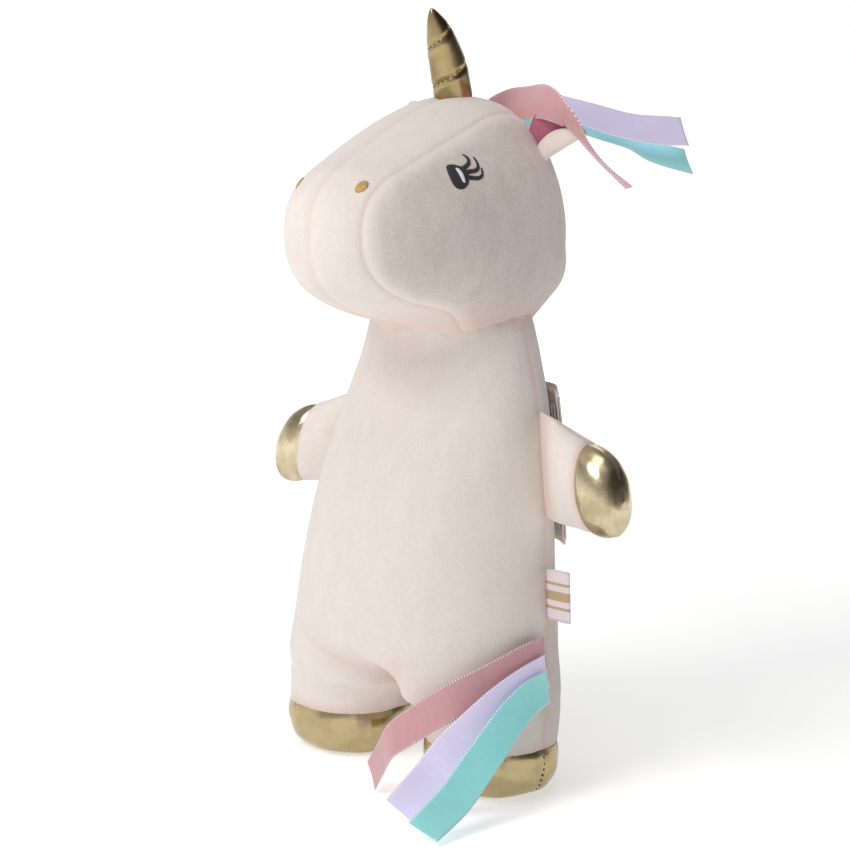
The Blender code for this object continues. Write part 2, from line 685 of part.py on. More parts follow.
def ear_grid(lift, trim):
    """The ear's leaf shape, lift above its outer cloth and trimmed at the edges."""
    root, seam, out, front = ear_frame()
    rows = []
    for u in (0.0, 0.12, 0.28, 0.46, 0.64, 0.80, 0.92, 1.0):
        wide = EAR_HALF_WIDTH * (0.62 + 1.45 * u - 1.4 * u * u) * (1 - u ** 6) + 1.4 * u - trim
        line, side = ear_section(lift, EAR_CURL * (1 - EAR_TIP[1] * smooth(u, EAR_TIP[0], 1)))
        high, fore = (line * wide + side).T
        rows.append(root + out * (EAR_LENGTH - trim) * u + seam * high[:, None] + front * fore[:, None])
    return np.array(rows)


def build_ear(ear, side, pivot):
    turn = np.array([1.0 if side == "left" else -1.0, 1.0, 1.0])
    thick = FABRIC * 0.7
    shell(f"ear_{side}_outer", [ear_grid(0, 0) * turn], [ear_grid(thick, 0) * turn], "velour", ear, pivot)
    shell(f"ear_{side}_lining", [ear_grid(thick + GAP, 1.0) * turn], [ear_grid(2 * thick + GAP, 1.0) * turn],
          "rose_velour", ear, pivot)


# ---- ribbons ------------------------------------------------------------------------
# Each point is x, y, z of the ribbon's middle and the direction across it.
MANE = {
    "rose": (
        ((0, 29, 398.5), (0.2, 1, 0)), ((10, 35, 404), (0.25, 1, -0.1)), ((25, 34, 406.5), (0.35, 0.95, -0.2)),
        ((50, 22, 403.5), (0.6, 0.75, -0.2)), ((76, 6, 393), (0.85, 0.2, 0.2)), ((85, 9, 381), (0.85, -0.1, 0.35)),
        ((89, 25, 368.5), (0.85, -0.25, 0.4)), ((91, 45, 359.5), (0.85, -0.3, 0.4)), ((92, 57, 349), (0.85, -0.35, 0.4)),
    ),
    "lilac": (
        ((0, 43, 390), (0.9, 0.35, -0.1)), ((4, 54, 396), (0.9, 0.2, -0.2)), ((12, 70, 396.5), (0.8, 0, -0.5)),
        ((20, 90, 390), (0.6, -0.1, -0.8)), ((24, 115, 384), (0.5, -0.15, -0.9)), ((28, 141, 378), (0.45, -0.15, -0.9)),
        ((32, 178, 374), (0.45, -0.15, -0.9)),
    ),
    "turquoise": (
        ((0, 54, 378), (0.95, 0.2, -0.1)), ((3, 64, 384), (0.9, 0.1, -0.2)), ((9, 80, 384), (0.8, 0, -0.5)),
        ((16, 98, 379), (0.75, -0.1, -0.6)), ((24, 124, 372), (0.7, -0.15, -0.65)), ((28, 144, 363), (0.65, -0.2, -0.7)),
        ((34, 180, 355), (0.6, -0.2, -0.75)),
    ),
}
TAIL = {
    "rose": (
        ((96.5, -21.5, 85), (0, 0, 1)), ((95.5, -38, 82), (-0.1, 0.05, 1)), ((89, -58, 74), (-0.15, 0.1, 1)),
        ((76, -79, 63), (-0.25, 0.15, 0.95)), ((58, -88, 49), (-0.4, 0.2, 0.9)), ((41, -91, 36), (-0.55, 0.3, 0.75)),
        ((28, -87, 21), (-0.7, 0.36, 0.6)), ((17, -84, 7.5), (-0.8, 0.41, 0.45)),
    ),
    "lilac": (
        ((98.6, -22.5, 75), (0, 0, 1)), ((99, -40, 71), (-0.1, 0, 1)), ((96, -58, 63), (-0.2, 0, 1)),
        ((91, -74, 51), (-0.35, 0, 0.93)), ((84, -88, 38), (-0.5, 0, 0.86)), ((78, -98, 24), (-0.65, -0.03, 0.75)),
        ((73, -116, 8), (-0.81, -0.05, 0.58)),
    ),
    "turquoise": (
        ((100.8, -23.5, 66), (0, 0, 1)), ((102, -40, 63), (-0.15, 0, 1)), ((102, -55, 55), (-0.3, 0, 0.95)),
        ((102, -70, 43), (-0.45, 0, 0.9)), ((102, -86, 30), (-0.6, 0, 0.8)), ((103, -103, 18), (-0.75, -0.03, 0.65)),
        ((104, -128, 6.5), (-0.89, -0.05, 0.45)),
    ),
}


def ribbon(name, route, slot, parent, pivot):
    """A satin ribbon: a flat strip carried along its route."""
    steps = np.linspace(0, len(route) - 1, 3 * (len(route) - 1) + 1)
    line = curve_through([p for p, _ in route], steps)
    across = curve_through([a for _, a in route], steps)
    run = np.gradient(line, axis=0)
    run /= np.linalg.norm(run, axis=1)[:, None]
    across -= run * np.sum(across * run, 1)[:, None]
    across /= np.linalg.norm(across, axis=1)[:, None]
    normal = np.cross(run, across)
    half = RIBBON_WIDTH / 2
    face = [np.stack([line - across * half, line + across * half], 1) + normal[:, None] * h
            for h in (RIBBON_THICKNESS / 2, -RIBBON_THICKNESS / 2)]
    return shell(name, [face[0]], [face[1]], slot, parent, pivot)


# ---- belt flap, label ---------------------------------------------------------------
FLAP_EDGE = {"left": 0.26, "right": 0.46}   # t on the torso's back where the flap ends on each side
PATCH_T = (0.28, 0.50)


def back_point(z, t, lift):
    """A point over the torso's back: t from -1 at the right side seam to 1 at the left one."""
    x, y, height = torso_point(z, 1 - abs(t), 1, lift)
    return np.sign(t) * x, y, height


def flap_lift(t):
    """How far the flap's lining stands off the torso: near it at the root and the closure."""
    root, close = -(1 - FLAP_EDGE["right"]), 1 - PATCH_T[1] - 0.03
    closure = PATCH + 2 * GAP + PATCH + 2 * GAP
    if t > close:
        return closure
    share = (t - root) / (close - root)
    rise = sin(pi * min(1.0, share * 1.25) / 2) if share < 0.8 else cos(pi * (share - 0.8) / 0.4) * 0.5 + 0.5
    low = 1.0 if share < 0.8 else closure
    return low + (FLAP_STANDOFF - low) * rise


def flap_grid(lift):
    ts = np.concatenate([np.linspace(-(1 - FLAP_EDGE["right"]), 1 - PATCH_T[1] - 0.03, 11),
                         np.linspace(1 - PATCH_T[1] + 0.02, 1 - FLAP_EDGE["left"], 4)])
    heights = np.linspace(*FLAP_Z, 7)
    return np.array([[back_point(z, t, flap_lift(t) + lift) for t in ts] for z in heights])


def patch_grid(lift):
    heights = np.linspace(*PATCH_Z, 5)
    return np.array([[back_point(z, 1 - t, lift) for t in np.linspace(*PATCH_T, 5)] for z in heights])


def flap_hinge():
    """The flap's root line, in the middle of its thickness."""
    t = -(1 - FLAP_EDGE["right"])
    return [np.array(back_point(z, t, 1.0 + FLAP_FABRIC + GAP / 2)) for z in FLAP_Z]


def label_grid(offset):
    """The label's U-shaped loop: out from the side seam, round its fold and back."""
    low, high = side_line(*LABEL_Z, 1.0)
    rows = []
    for end in (low, high):
        half = 1.3 - offset
        line = [(0.0, 0.8 - offset), (3.0, half), (LABEL_REACH - 3, half)]
        line += [(LABEL_REACH - 3 + half * 1.6 * sin(a), half * cos(a)) for a in np.linspace(0, pi, 7)[1:-1]]
        line += [(LABEL_REACH - 3, -half), (3.0, -half), (0.0, -(0.8 - offset))]
        rows.append([end + np.array([u, v, 0.0]) for u, v in line])
    return np.array(rows)


# ---- assembly -----------------------------------------------------------------------
def main():
    for old in list(bpy.data.objects):
        bpy.data.objects.remove(old)

    whole = group("unicorn", (0, MIDDLE_Y, 0))
    whole["place"] = [0, 0, 0]
    torso = body("torso", (0, 0, 0), whole)
    build_torso(torso)

    head = body("head", (0, 2.0, NECK_Z - NECK_CUT[2]), torso)
    build_head(head)
    horn = body("horn", (0, HORN_Y, horn_base_z()), head)
    build_horn(horn)

    for side, sign in (("left", 1), ("right", -1)):
        root = ear_frame()[0] * np.array([sign, 1.0, 1.0])
        build_ear(body(f"ear_{side}", root.tolist(), head), side, root.tolist())
        middle = arm_frame(side)[0] * np.array([sign, 1.0, 1.0])
        build_arm(body(f"arm_{side}", middle.tolist(), torso), side)

    mane = body("mane", MANE["rose"][0][0], head)
    for colour, route in MANE.items():
        ribbon(f"mane_ribbon_{colour}", route, f"{colour}_satin", mane, MANE["rose"][0][0])
    tail = body("tail", TAIL["lilac"][0][0], torso)
    for colour, route in TAIL.items():
        ribbon(f"tail_ribbon_{colour}", route, f"{colour}_satin", tail, TAIL["lilac"][0][0])

    label = body("label", np.mean(side_line(*LABEL_Z, 1.0), 0).tolist(), torso)
    shell("side_label", [label_grid(0)], [label_grid(LABEL_THICKNESS)], "label_satin", label)

    shell("loop_patch", [patch_grid(GAP + PATCH)], [patch_grid(GAP)], "hook_tape", torso)
    flap = body("belt_flap", np.mean(flap_hinge(), 0).tolist(), torso)
    shell("belt_flap_lining", [flap_grid(FLAP_FABRIC)], [flap_grid(0)], "velour", flap)
    shell("belt_flap_cover", [flap_grid(2 * FLAP_FABRIC + GAP)], [flap_grid(FLAP_FABRIC + GAP)], "velour", flap)
    high = 2 * PATCH + 2 * GAP
    shell("hook_patch", [patch_grid(high)], [patch_grid(high - PATCH)], "hook_tape", flap)


main()
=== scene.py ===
"""Looks of the plush unicorn, built round its part.

Shapes are worked out in millimetres in the toy's own frame: it faces -Y, its left side is at +X
and it stands on z = 0. placed() turns them into metres in the shared frame.
"""
from math import cos, pi, radians, sin

import bmesh
import bpy
import numpy as np
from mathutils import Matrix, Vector


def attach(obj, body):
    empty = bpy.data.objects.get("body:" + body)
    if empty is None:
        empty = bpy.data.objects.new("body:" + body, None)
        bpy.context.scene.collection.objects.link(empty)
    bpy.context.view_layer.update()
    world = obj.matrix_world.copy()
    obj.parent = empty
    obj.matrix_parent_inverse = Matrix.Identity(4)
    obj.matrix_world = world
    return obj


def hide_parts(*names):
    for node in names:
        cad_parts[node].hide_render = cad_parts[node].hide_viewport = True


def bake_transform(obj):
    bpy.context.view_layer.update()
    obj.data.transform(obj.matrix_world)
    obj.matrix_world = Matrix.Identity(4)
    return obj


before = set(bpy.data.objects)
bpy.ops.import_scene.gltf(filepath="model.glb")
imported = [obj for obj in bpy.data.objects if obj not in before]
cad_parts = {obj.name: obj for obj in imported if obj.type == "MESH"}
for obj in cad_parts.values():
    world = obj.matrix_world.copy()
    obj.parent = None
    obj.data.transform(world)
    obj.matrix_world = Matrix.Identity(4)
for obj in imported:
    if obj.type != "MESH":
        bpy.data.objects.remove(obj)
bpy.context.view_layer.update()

MM = 0.001
MIDDLE_Y = -26.2

# ---- sizes shared with the part ----
NECK_Z, CROTCH_Z, LEG_BLEND, FOOT_SEAM_Z = 271.0, 50.0, 36.0, 28.0
LEG_DEPTH = (40.0, 30.0)
LEG_INNER_X = 20.0
SECTION_POWER = 2.3
HEAD_HALF_WIDTH = 64.0
HEAD_CENTRE = (-5.0, 325.0)
HEAD_POWER_X, HEAD_POWER_K = 2.2, 2.4
PANEL_START, PANEL_END = 4, 21
HORN_RADIUS, HORN_LENGTH, HORN_LEAN, HORN_Y, HORN_BASE_Z = 11.4, 54.0, 16.0, 1.0, 398.03
ARM_LENGTH, ARM_Z, ARM_HALF_HEIGHT, ARM_HALF_THICKNESS, ARM_GOLD = 66.0, 188.0, 31.0, 15.5, 0.60
ARM_DROOP = {"left": 9.0, "right": 13.0}
ARM_FORWARD, ARM_STANDOFF = 8.0, 3.2
RIBBON_WIDTH = 20.0
FLAP_Z, FLAP_STANDOFF, FLAP_FABRIC = (141.0, 229.0), 12.0, 1.1
FLAP_EDGE = {"left": 0.26, "right": 0.46}
PATCH, PATCH_Z, PATCH_T, GAP = 1.4, (149.0, 221.0), (0.28, 0.50), 0.3
LABEL_Z, LABEL_REACH = (102.0, 130.0), 17.0
EYE_AT, NOSTRIL_AT = (10.62, 52.0), (12.35, 25.5)

# ---- sizes the part does not share ----
# A larger ear than the part's; the rose ribbon of the mane below also takes its own route.
EAR_LENGTH, EAR_HALF_WIDTH, EAR_CURL, EAR_STANDOFF = 33.0, 21.0, 172.0, 1.2
EAR_ROOT = (49.5, 23.0, 360.5)  # foot of the left ear's fold, on the head
SEAM_DEPTH, SEAM_WIDTH = 0.8, 1.7  # how deep a seam is drawn in, and over what distance
PILLOW_DEPTH, PILLOW_WIDTH = 0.45, 11.0  # the rounder fall of the stuffed cloth towards its seams
STITCH = (1.7, 0.42, 3.6)  # a stitch's length, radius and spacing
CLOTH_FRAMES, CLOTH_PRESSURE = 14, 4.0
LASH_WIDTH = 3.0
NECK_FULLNESS = 1.2  # cheeks come down fuller to the neck seam
EAR_FOLD = (0.56, 0.84)  # where across the ear its fold begins and ends

# Height, half width at the side seam, depth in front and behind, and the seam's own y.
TORSO = (
    (28, 98.5, 56, 38, -24), (48, 97, 62, 40, -20.5), (66, 95, 67, 39, -17.5),
    (96, 91, 70.5, 36, -13), (121, 86.5, 73.5, 32.5, -9.2), (146, 82.5, 74, 30, -5.2),
    (171, 79, 71, 29, -1.6), (196, 75, 62, 29.5, 0.2), (221, 70.5, 50, 30.5, 1),
    (246, 63.5, 40, 30, 1.5), (271, 56, 36.5, 28.5, 2),
)
# The head's outline from the nape over the crown and face to the throat: y, z, centre panel's half width.
HEAD = (
    (40, 272, 0), (55, 284, 0), (64, 301, 0), (65.5, 322, 0), (60.5, 346, 0),
    (51, 367, 12), (39, 384, 26), (19, 396, 33),
    (-6, 397.5, 36), (-32, 390, 38),
    (-57, 379, 37), (-80, 367, 35), (-98, 356.5, 33), (-110, 343, 32),
    (-114.5, 327, 32), (-114, 309, 33), (-105, 292.5, 35), (-87, 280.5, 37),
    (-64, 272.5, 39), (-42, 267, 40), (-15, 253, 26), (12, 253, 0),
)
# The flat sole is a share of the foot; rows hold share and height.
FOOT = ((1, 28), (1.015, 20), (0.99, 12.5), (0.93, 6.5), (0.84, 2.4), (0.74, 0.5), (0.62, 0),
        (0.31, 0), (0, 0))
FOOT_SOLE = 0.62
# Share of the arm's length, half height and half thickness as shares of their largest.
ARM = ((0, 1, 0.14), (0.10, 0.99, 0.38), (0.24, 0.94, 0.72), (0.42, 0.88, 0.93), (0.60, 0.845, 1),
       (0.74, 0.82, 0.98), (0.86, 0.73, 0.85), (0.94, 0.56, 0.64), (0.985, 0.30, 0.36), (1, 0, 0))
# Each point of a ribbon is x, y, z of its middle and the direction across it.
MANE = {
    "rose": (
        ((0, 30, 389), (-0.25, 0.6, 0.75)), ((12, 33, 393.5), (-0.3, 0.5, 0.8)),
        ((30, 29, 394.5), (-0.3, 0.4, 0.86)), ((61, 14.5, 395.5), (0, 0.05, 1)),
        ((76, 14, 388), (0.5, -0.5, 0.7)), ((81, 19.5, 378.5), (0.68, -0.66, 0.32)),
        ((86, 25, 368.5), (0.7, -0.7, 0.17)), ((92, 31.5, 359), (0.7, -0.7, 0.17)),
        ((101, 41, 347.5), (0.7, -0.7, 0.25)),
    ),
    "lilac": (
        ((0, 43, 390), (0.9, 0.35, -0.1)), ((4, 54, 396), (0.9, 0.2, -0.2)),
        ((12, 70, 396.5), (0.8, 0, -0.5)), ((20, 90, 388), (0.6, -0.1, -0.8)),
        ((24, 115, 381.5), (0.5, -0.15, -0.9)), ((28, 141, 376.5), (0.45, -0.15, -0.9)),
        ((32, 178, 374), (0.45, -0.15, -0.9)),
    ),
    "turquoise": (
        ((0, 54, 378), (0.95, 0.2, -0.1)), ((3, 64, 384), (0.9, 0.1, -0.2)),
        ((9, 80, 384), (0.8, 0, -0.5)), ((16, 98, 379), (0.75, -0.1, -0.6)),
        ((24, 124, 372), (0.7, -0.15, -0.65)), ((28, 144, 363), (0.65, -0.2, -0.7)),
        ((34, 180, 355), (0.6, -0.2, -0.75)),
    ),
}
TAIL = {
    "rose": (
        ((96.5, -21.5, 85), (0, 0, 1)), ((95.5, -38, 82), (-0.1, 0.05, 1)),
        ((89, -58, 74), (-0.15, 0.1, 1)), ((76, -79, 63), (-0.25, 0.15, 0.95)),
        ((58, -88, 49), (-0.4, 0.2, 0.9)), ((41, -91, 36), (-0.55, 0.3, 0.75)),
        ((28, -87, 21), (-0.7, 0.36, 0.6)), ((17, -84, 7.5), (-0.8, 0.41, 0.45)),
    ),
    "lilac": (
        ((98.6, -22.5, 75), (0, 0, 1)), ((99, -40, 71), (-0.1, 0, 1)), ((96, -58, 63), (-0.2, 0, 1)),
        ((91, -74, 51), (-0.35, 0, 0.93)), ((84, -88, 38), (-0.5, 0, 0.86)),
        ((78, -98, 24), (-0.65, -0.03, 0.75)), ((73, -116, 8), (-0.81, -0.05, 0.58)),
    ),
    "turquoise": (
        ((100.8, -23.5, 66), (0, 0, 1)), ((102, -40, 63), (-0.15, 0, 1)),
        ((102, -55, 55), (-0.3, 0, 0.95)), ((102, -70, 43), (-0.45, 0, 0.9)),
        ((102, -86, 30), (-0.6, 0, 0.8)), ((103, -103, 18), (-0.75, -0.03, 0.65)),
        ((104, -128, 6.5), (-0.89, -0.05, 0.45)),
    ),
}
EYE_OUTLINE = (
    (-7, 4), (-6, 6), (-3.4, 6.8), (0.2, 6.6), (3.6, 6.2), (6.2, 3.6), (7.2, 0),
    (6.4, -4.2), (3.8, -7.4), (0.4, -8.4), (-2.4, -7), (-4.6, -3.4), (-6.2, 0.6),
)
GLINT_OUTLINE = ((-1.8, 3.8), (-0.2, 4.2), (2.4, 1.8), (4.2, -3), (3.4, -3.8), (2.2, -3), (0.4, 0.4))
LASHES = {
    "upper": ((3.4, 5.4), (6.6, 9.6), (6, 13), (3.2, 15)),
    "middle": ((5.6, 3.6), (11.6, 6.6), (12.2, 10.4), (9.8, 14.4)),
    "lower": ((6.2, 0.4), (12.4, 1.6), (15.2, 4.2), (14.6, 8.6)),
}


# ---- curves and arrays ----
def smooth(value, start, end):
    """0 at start, 1 at end: 3s^2 - 2s^3 of the share s of the way."""
    share = np.clip((value - start) / (end - start), 0, 1)
    return share * share * (3 - 2 * share)


def spline(rows, at, ring=False):
    """Rows read at a parameter of any shape along the Catmull-Rom curve through them."""
    p, at = np.array(rows, float), np.asarray(at, float)
    if ring:
        at = at % len(p)
        p = np.vstack([p[-1], p, p[0], p[1]])
    else:
        p = np.vstack([2 * p[0] - p[1], p, 2 * p[-1] - p[-2]])
    i = np.clip(at.astype(int), 0, len(p) - 4)
    f = (at - i)[..., None]
    a, b, c, d = p[i], p[i + 1], p[i + 2], p[i + 3]
    return b + 0.5 * f * (c - a + f * (2 * a - 5 * b + 4 * c - d + f * (3 * (b - c) + d - a)))


def station(table, height):
    """The columns of a table read smoothly at a value of its first column."""
    rows = np.array(table)
    order = np.argsort(rows[:, 0])
    return np.moveaxis(spline(rows, np.interp(height, rows[order, 0], order.astype(float))), -1, 0)


def unit(v):
    return v / np.maximum(np.linalg.norm(v, axis=-1, keepdims=True), 1e-9)


def dip(distance, width):
    """1 on a line and falling away from it as exp(-(distance / width)^2)."""
    return np.exp(-(np.asarray(distance) / width) ** 2)


def placed(points):
    """Millimetres in the toy's frame as metres in the shared frame."""
    return (np.asarray(points, float) + (0, MIDDLE_Y, 0)) * MM


def mirrored(points):
    return points * np.array([-1.0, 1.0, 1.0])


SIDES = (("left", lambda points: points), ("right", mirrored))


def crossed(rows, cols):
    """Every value of rows against every value of cols, as two arrays."""
    return np.meshgrid(rows, cols, indexing="ij")


def run_length(line):
    """How far along a line of points each of them lies."""
    return np.append(0, np.cumsum(np.linalg.norm(np.diff(line, axis=0), axis=1)))


def read(items, field, width=3):
    values = np.empty(len(items) * width, np.float32)
    items.foreach_get(field, values)
    return values.astype(float).reshape(-1, width)


# ---- meshes ----
def in_scene(name, data):
    made = bpy.data.objects.new(name, data)
    bpy.context.scene.collection.objects.link(made)
    return made


def fabric(name, grids, finish, facts=None, outward=True):
    """One mesh of grids of points; points that coincide become one. facts holds, by name, a number
    for each point of each grid, which stays on the mesh as a point attribute."""
    flat = np.vstack([g.reshape(-1, 3) for g in grids])
    corners, start = [], 0
    for g in grids:
        rows, cols = g.shape[:2]
        n = np.arange(rows * cols).reshape(rows, cols) + start
        corners.append(np.stack([n[:-1, :-1], n[:-1, 1:], n[1:, 1:], n[1:, :-1]], -1).reshape(-1, 4))
        start += rows * cols
    _, first, index = np.unique(np.round(flat, 2) + 0.0, axis=0, return_index=True, return_inverse=True)
    ring = index.reshape(-1)[np.vstack(corners)]
    same = ring == np.roll(ring, -1, 1)
    thin = same.sum(1) == 1
    faces = ring[~same.any(1)].tolist() + ring[thin][~same[thin]].reshape(-1, 3).tolist()
    mesh = bpy.data.meshes.new(name)
    mesh.from_pydata(placed(flat[first]).tolist(), [], faces)
    if outward:
        bm = bmesh.new()
        bm.from_mesh(mesh)
        bmesh.ops.recalc_face_normals(bm, faces=bm.faces)
        bm.to_mesh(mesh)
        bm.free()
    for key, values in (facts or {}).items():
        told = np.concatenate([np.asarray(v, float).reshape(-1) for v in values])[first]
        mesh.attributes.new(key, "FLOAT", "POINT").data.foreach_set("value", told.astype(np.float32))
    mesh.materials.append(finish)
    mesh.shade_smooth()
    piece = in_scene(name, mesh)
    return piece


def fact(piece, key):
    return read(piece.data.attributes[key].data, "value", 1)[:, 0]


def move_to(mesh, points):
    mesh.vertices.foreach_set("co", points.astype(np.float32).ravel())
    mesh.update()


def tell(piece, key, values):
    piece.data.attributes[key].data.foreach_set("value", values.astype(np.float32))


def swell(piece, lift):
    """Moves each point along its own normal by lift millimetres."""
    mesh = piece.data
    move_to(mesh, read(mesh.vertices, "co")
            + read(mesh.vertex_normals, "vector") * np.asarray(lift)[:, None] * MM)


def stuff(piece, held, most):
    """Fills a cover: cloth pushed out from inside while its seams are held, moved at most most mm."""
    scene, mesh = bpy.context.scene, piece.data
    before = read(mesh.vertices, "co")
    group = piece.vertex_groups.new(name="seams")
    group.add(np.flatnonzero(held).tolist(), 1.0, "REPLACE")
    cloth = piece.modifiers.new("stuffed", "CLOTH")
    cloth.settings.quality = 5
    cloth.settings.mass = 0.02
    cloth.settings.tension_stiffness = cloth.settings.compression_stiffness = 25
    cloth.settings.bending_stiffness = 1.5
    cloth.settings.use_pressure = True
    cloth.settings.uniform_pressure_force = CLOTH_PRESSURE
    cloth.settings.vertex_group_mass = "seams"
    cloth.settings.effector_weights.gravity = 0
    cloth.collision_settings.use_collision = False
    cloth.point_cache.frame_start, cloth.point_cache.frame_end = 1, CLOTH_FRAMES
    for moment in range(1, CLOTH_FRAMES + 1):
        scene.frame_set(moment)
    evaluated = piece.evaluated_get(bpy.context.evaluated_depsgraph_get())
    move = read(evaluated.data.vertices, "co") - before
    piece.modifiers.remove(cloth)
    piece.vertex_groups.clear()
    scene.frame_set(1)
    length = np.linalg.norm(move, axis=1, keepdims=True)
    print(piece.name, "stuffed by up to", round(float(length.max()) / MM, 2), "mm")
    move *= np.minimum(1, most * MM / np.maximum(length, 1e-9))
    move_to(mesh, before + move)


def refine(piece, levels=1):
    finer = piece.modifiers.new("finer", "SUBSURF")
    finer.levels = finer.render_levels = levels
    return piece


def thicken(piece, thickness, side=0.0):
    wall = piece.modifiers.new("wall", "SOLIDIFY")
    wall.thickness, wall.offset = thickness * MM, side
    return piece


def weave_map(piece, across, along):
    """A UV map from a number across and a number along for each point."""
    told = np.stack([across, along], 1)
    corners = np.empty(len(piece.data.loops), np.int32)
    piece.data.loops.foreach_get("vertex_index", corners)
    piece.data.uv_layers.new(name="weave").data.foreach_set("uv", told[corners].astype(np.float32).ravel())


def strip(name, grid, finish, thickness, uv, side=0.0):
    """A single sheet of cloth with its own weave map and a thin wall."""
    piece = fabric(name, [grid], finish, {"u": [uv[0]], "v": [uv[1]]}, outward=False)
    weave_map(piece, fact(piece, "u"), fact(piece, "v"))
    return thicken(piece, thickness, side)


def stitches(name, middles, along, normals, finish, length=STITCH[0], radius=STITCH[1]):
    """Short stitches: a capsule of 6 x 5 faces, set at each place by its own three directions."""
    angle, share = np.linspace(0, 2 * pi, 7), np.linspace(0, 1, 6)
    across = np.cross(normals, along)
    axis = -np.cos(share * pi) * (length / 2)
    round_off = np.sin(share * pi) ** 0.6 * radius
    grids = [
        m + a * axis[:, None, None]
        + (n * np.sin(angle)[:, None] + b * np.cos(angle)[:, None]) * round_off[:, None, None]
        for m, a, n, b in zip(middles, along, normals, across)
    ]
    return fabric(name, grids, finish)


def along_line(line, spacing):
    """Evenly spaced places on a line of points, and its direction at each."""
    run = run_length(line)
    at = np.arange(spacing / 2, run[-1], spacing)
    behind, pick, ahead = (np.stack([np.interp(at + step, run, line[:, k]) for k in range(3)], 1)
                           for step in (-0.5, 0, 0.5))
    return pick, unit(ahead - behind)


# ---- finishes ----
class Wire:
    """A shader socket that can be added, multiplied and raised like a number."""

    def __init__(self, finish, socket):
        self.finish, self.socket = finish, socket

    def math(self, operation, *values):
        return self.finish.node("ShaderNodeMath", {"operation": operation}, dict(enumerate(values)))

    def __add__(self, other): return self.math("ADD", self, other)
    def __sub__(self, other): return self.math("SUBTRACT", self, other)
    def __rsub__(self, other): return self.math("SUBTRACT", other, self)
    def __mul__(self, other): return self.math("MULTIPLY", self, other)
    def __truediv__(self, other): return self.math("DIVIDE", self, other)
    def __rtruediv__(self, other): return self.math("DIVIDE", other, self)
    def __pow__(self, other): return self.math("POWER", self, other)
    def __neg__(self): return self.math("MULTIPLY", self, -1.0)

    __radd__, __rmul__ = __add__, __mul__

    def sine(self): return self.math("SINE", self)
    def size(self): return self.math("ABSOLUTE", self)

    def between(self, start, end):
        """0 at start and 1 at end, with level ends."""
        return self.finish.node("ShaderNodeMapRange", {"interpolation_type": "SMOOTHSTEP"},
                                {"Value": self, "From Min": start, "From Max": end})


class Finish:
    """A material or a world on one shader, whose constants are set on the shader's own sockets."""

    def __init__(self, name, owner=None, shader="Principled BSDF", **constants):
        self.material = owner or bpy.data.materials.new(name)
        self.material.use_nodes = True
        self.nodes, self.links = self.material.node_tree.nodes, self.material.node_tree.links
        self.shader = self.nodes[shader]
        for key, value in constants.items():
            self.shader.inputs[key.replace("_", " ")].default_value = value

    def node(self, kind, settings=None, sockets=None, output=0):
        made = self.nodes.new(kind)
        for key, value in (settings or {}).items():
            setattr(made, key, value)
        for key, value in (sockets or {}).items():
            if isinstance(value, Wire):
                self.links.new(value.socket, made.inputs[key])
            else:
                made.inputs[key].default_value = value
        return Wire(self, made.outputs[output])

    def place(self, stretch=(1, 1, 1)):
        here = self.node("ShaderNodeTexCoord", output="Object")
        return self.node("ShaderNodeMapping", {}, {"Vector": here, "Scale": stretch})

    def noise(self, where, scale, detail=2.0, roughness=0.5):
        return self.node("ShaderNodeTexNoise", {}, {"Vector": where, "Scale": scale, "Detail": detail,
                                                    "Roughness": roughness})

    def cells(self, where, scale):
        """Distance to the nearest cell edge, 0 on the edge."""
        return self.node("ShaderNodeTexVoronoi", {"feature": "DISTANCE_TO_EDGE"},
                         {"Vector": where, "Scale": scale})

    def blend(self, share, a, b):
        """Colour a at share 0 and colour b at share 1."""
        return self.node("ShaderNodeMix", {"data_type": "RGBA"}, {0: share, 6: a, 7: b}, output=2)

    def fact(self, name):
        return self.node("ShaderNodeAttribute", {"attribute_name": name}, output="Fac")

    def weave(self):
        """The weave map's number across and number along."""
        uv = self.node("ShaderNodeTexCoord", output="UV")
        split = self.node("ShaderNodeSeparateXYZ", {}, {0: uv})
        return split, Wire(self, split.socket.node.outputs[1])

    def relief(self, height, depth, strength=1.0):
        bump = self.node("ShaderNodeBump", {}, {"Height": height, "Distance": depth, "Strength": strength})
        return self.to("Normal", bump)

    def to(self, socket, wire):
        self.links.new(wire.socket, self.shader.inputs[socket])
        return self


def rgb(red, green, blue):
    return (red, green, blue, 1.0)


def velour(name, light, deep, fold, nap_and_shade_light, nap_and_shade_deep):
    """Short pile: brushed patches and tufts; a greyer, finer-grained pile where nap_and_shade is high, partly
    the turned pile and partly painted shade;
    and painted warm shade, standing in for shade and light bounced in the cloth, down in the folds, along
    seams and at rims."""
    f = Finish(name, Roughness=0.95, Sheen_Weight=0.35, Sheen_Roughness=0.5, Sheen_Tint=rgb(1, 0.97, 0.95),
               Specular_IOR_Level=0.2)
    brushed = f.noise(f.place((1, 1, 0.45)), 95, 4.0, 0.62)
    tufts = f.noise(f.place((1, 1, 0.6)), 850, 3.0, 0.7)
    cloud = f.noise(f.place(), 17, 2.0)
    fine = f.noise(f.place((1, 1, 0.7)), 1500, 2.0, 0.6).between(0.3, 0.7)
    tone = 0.62 + brushed.between(0.3, 0.7) * 0.12 + (cloud - 0.5) * 0.10 \
        + (tufts.between(0.32, 0.68) - 0.5) * 0.16
    # the greyer pile: partly the turned pile of the side panels, partly painted shade
    nap_and_shade_colour = f.blend(fine * 0.75 + brushed.between(0.3, 0.7) * 0.25, nap_and_shade_deep, nap_and_shade_light)
    pile = f.blend(f.fact("nap_and_shade") * 0.62, f.blend(tone, deep, light), nap_and_shade_colour)
    # painted warm shade from the fold attribute: in folds, along seams and at rims
    f.to("Base Color", f.blend(f.fact("fold"), pile, fold))
    return f.relief(tufts * 0.8 + brushed * 0.35, 0.0006, 0.6).material


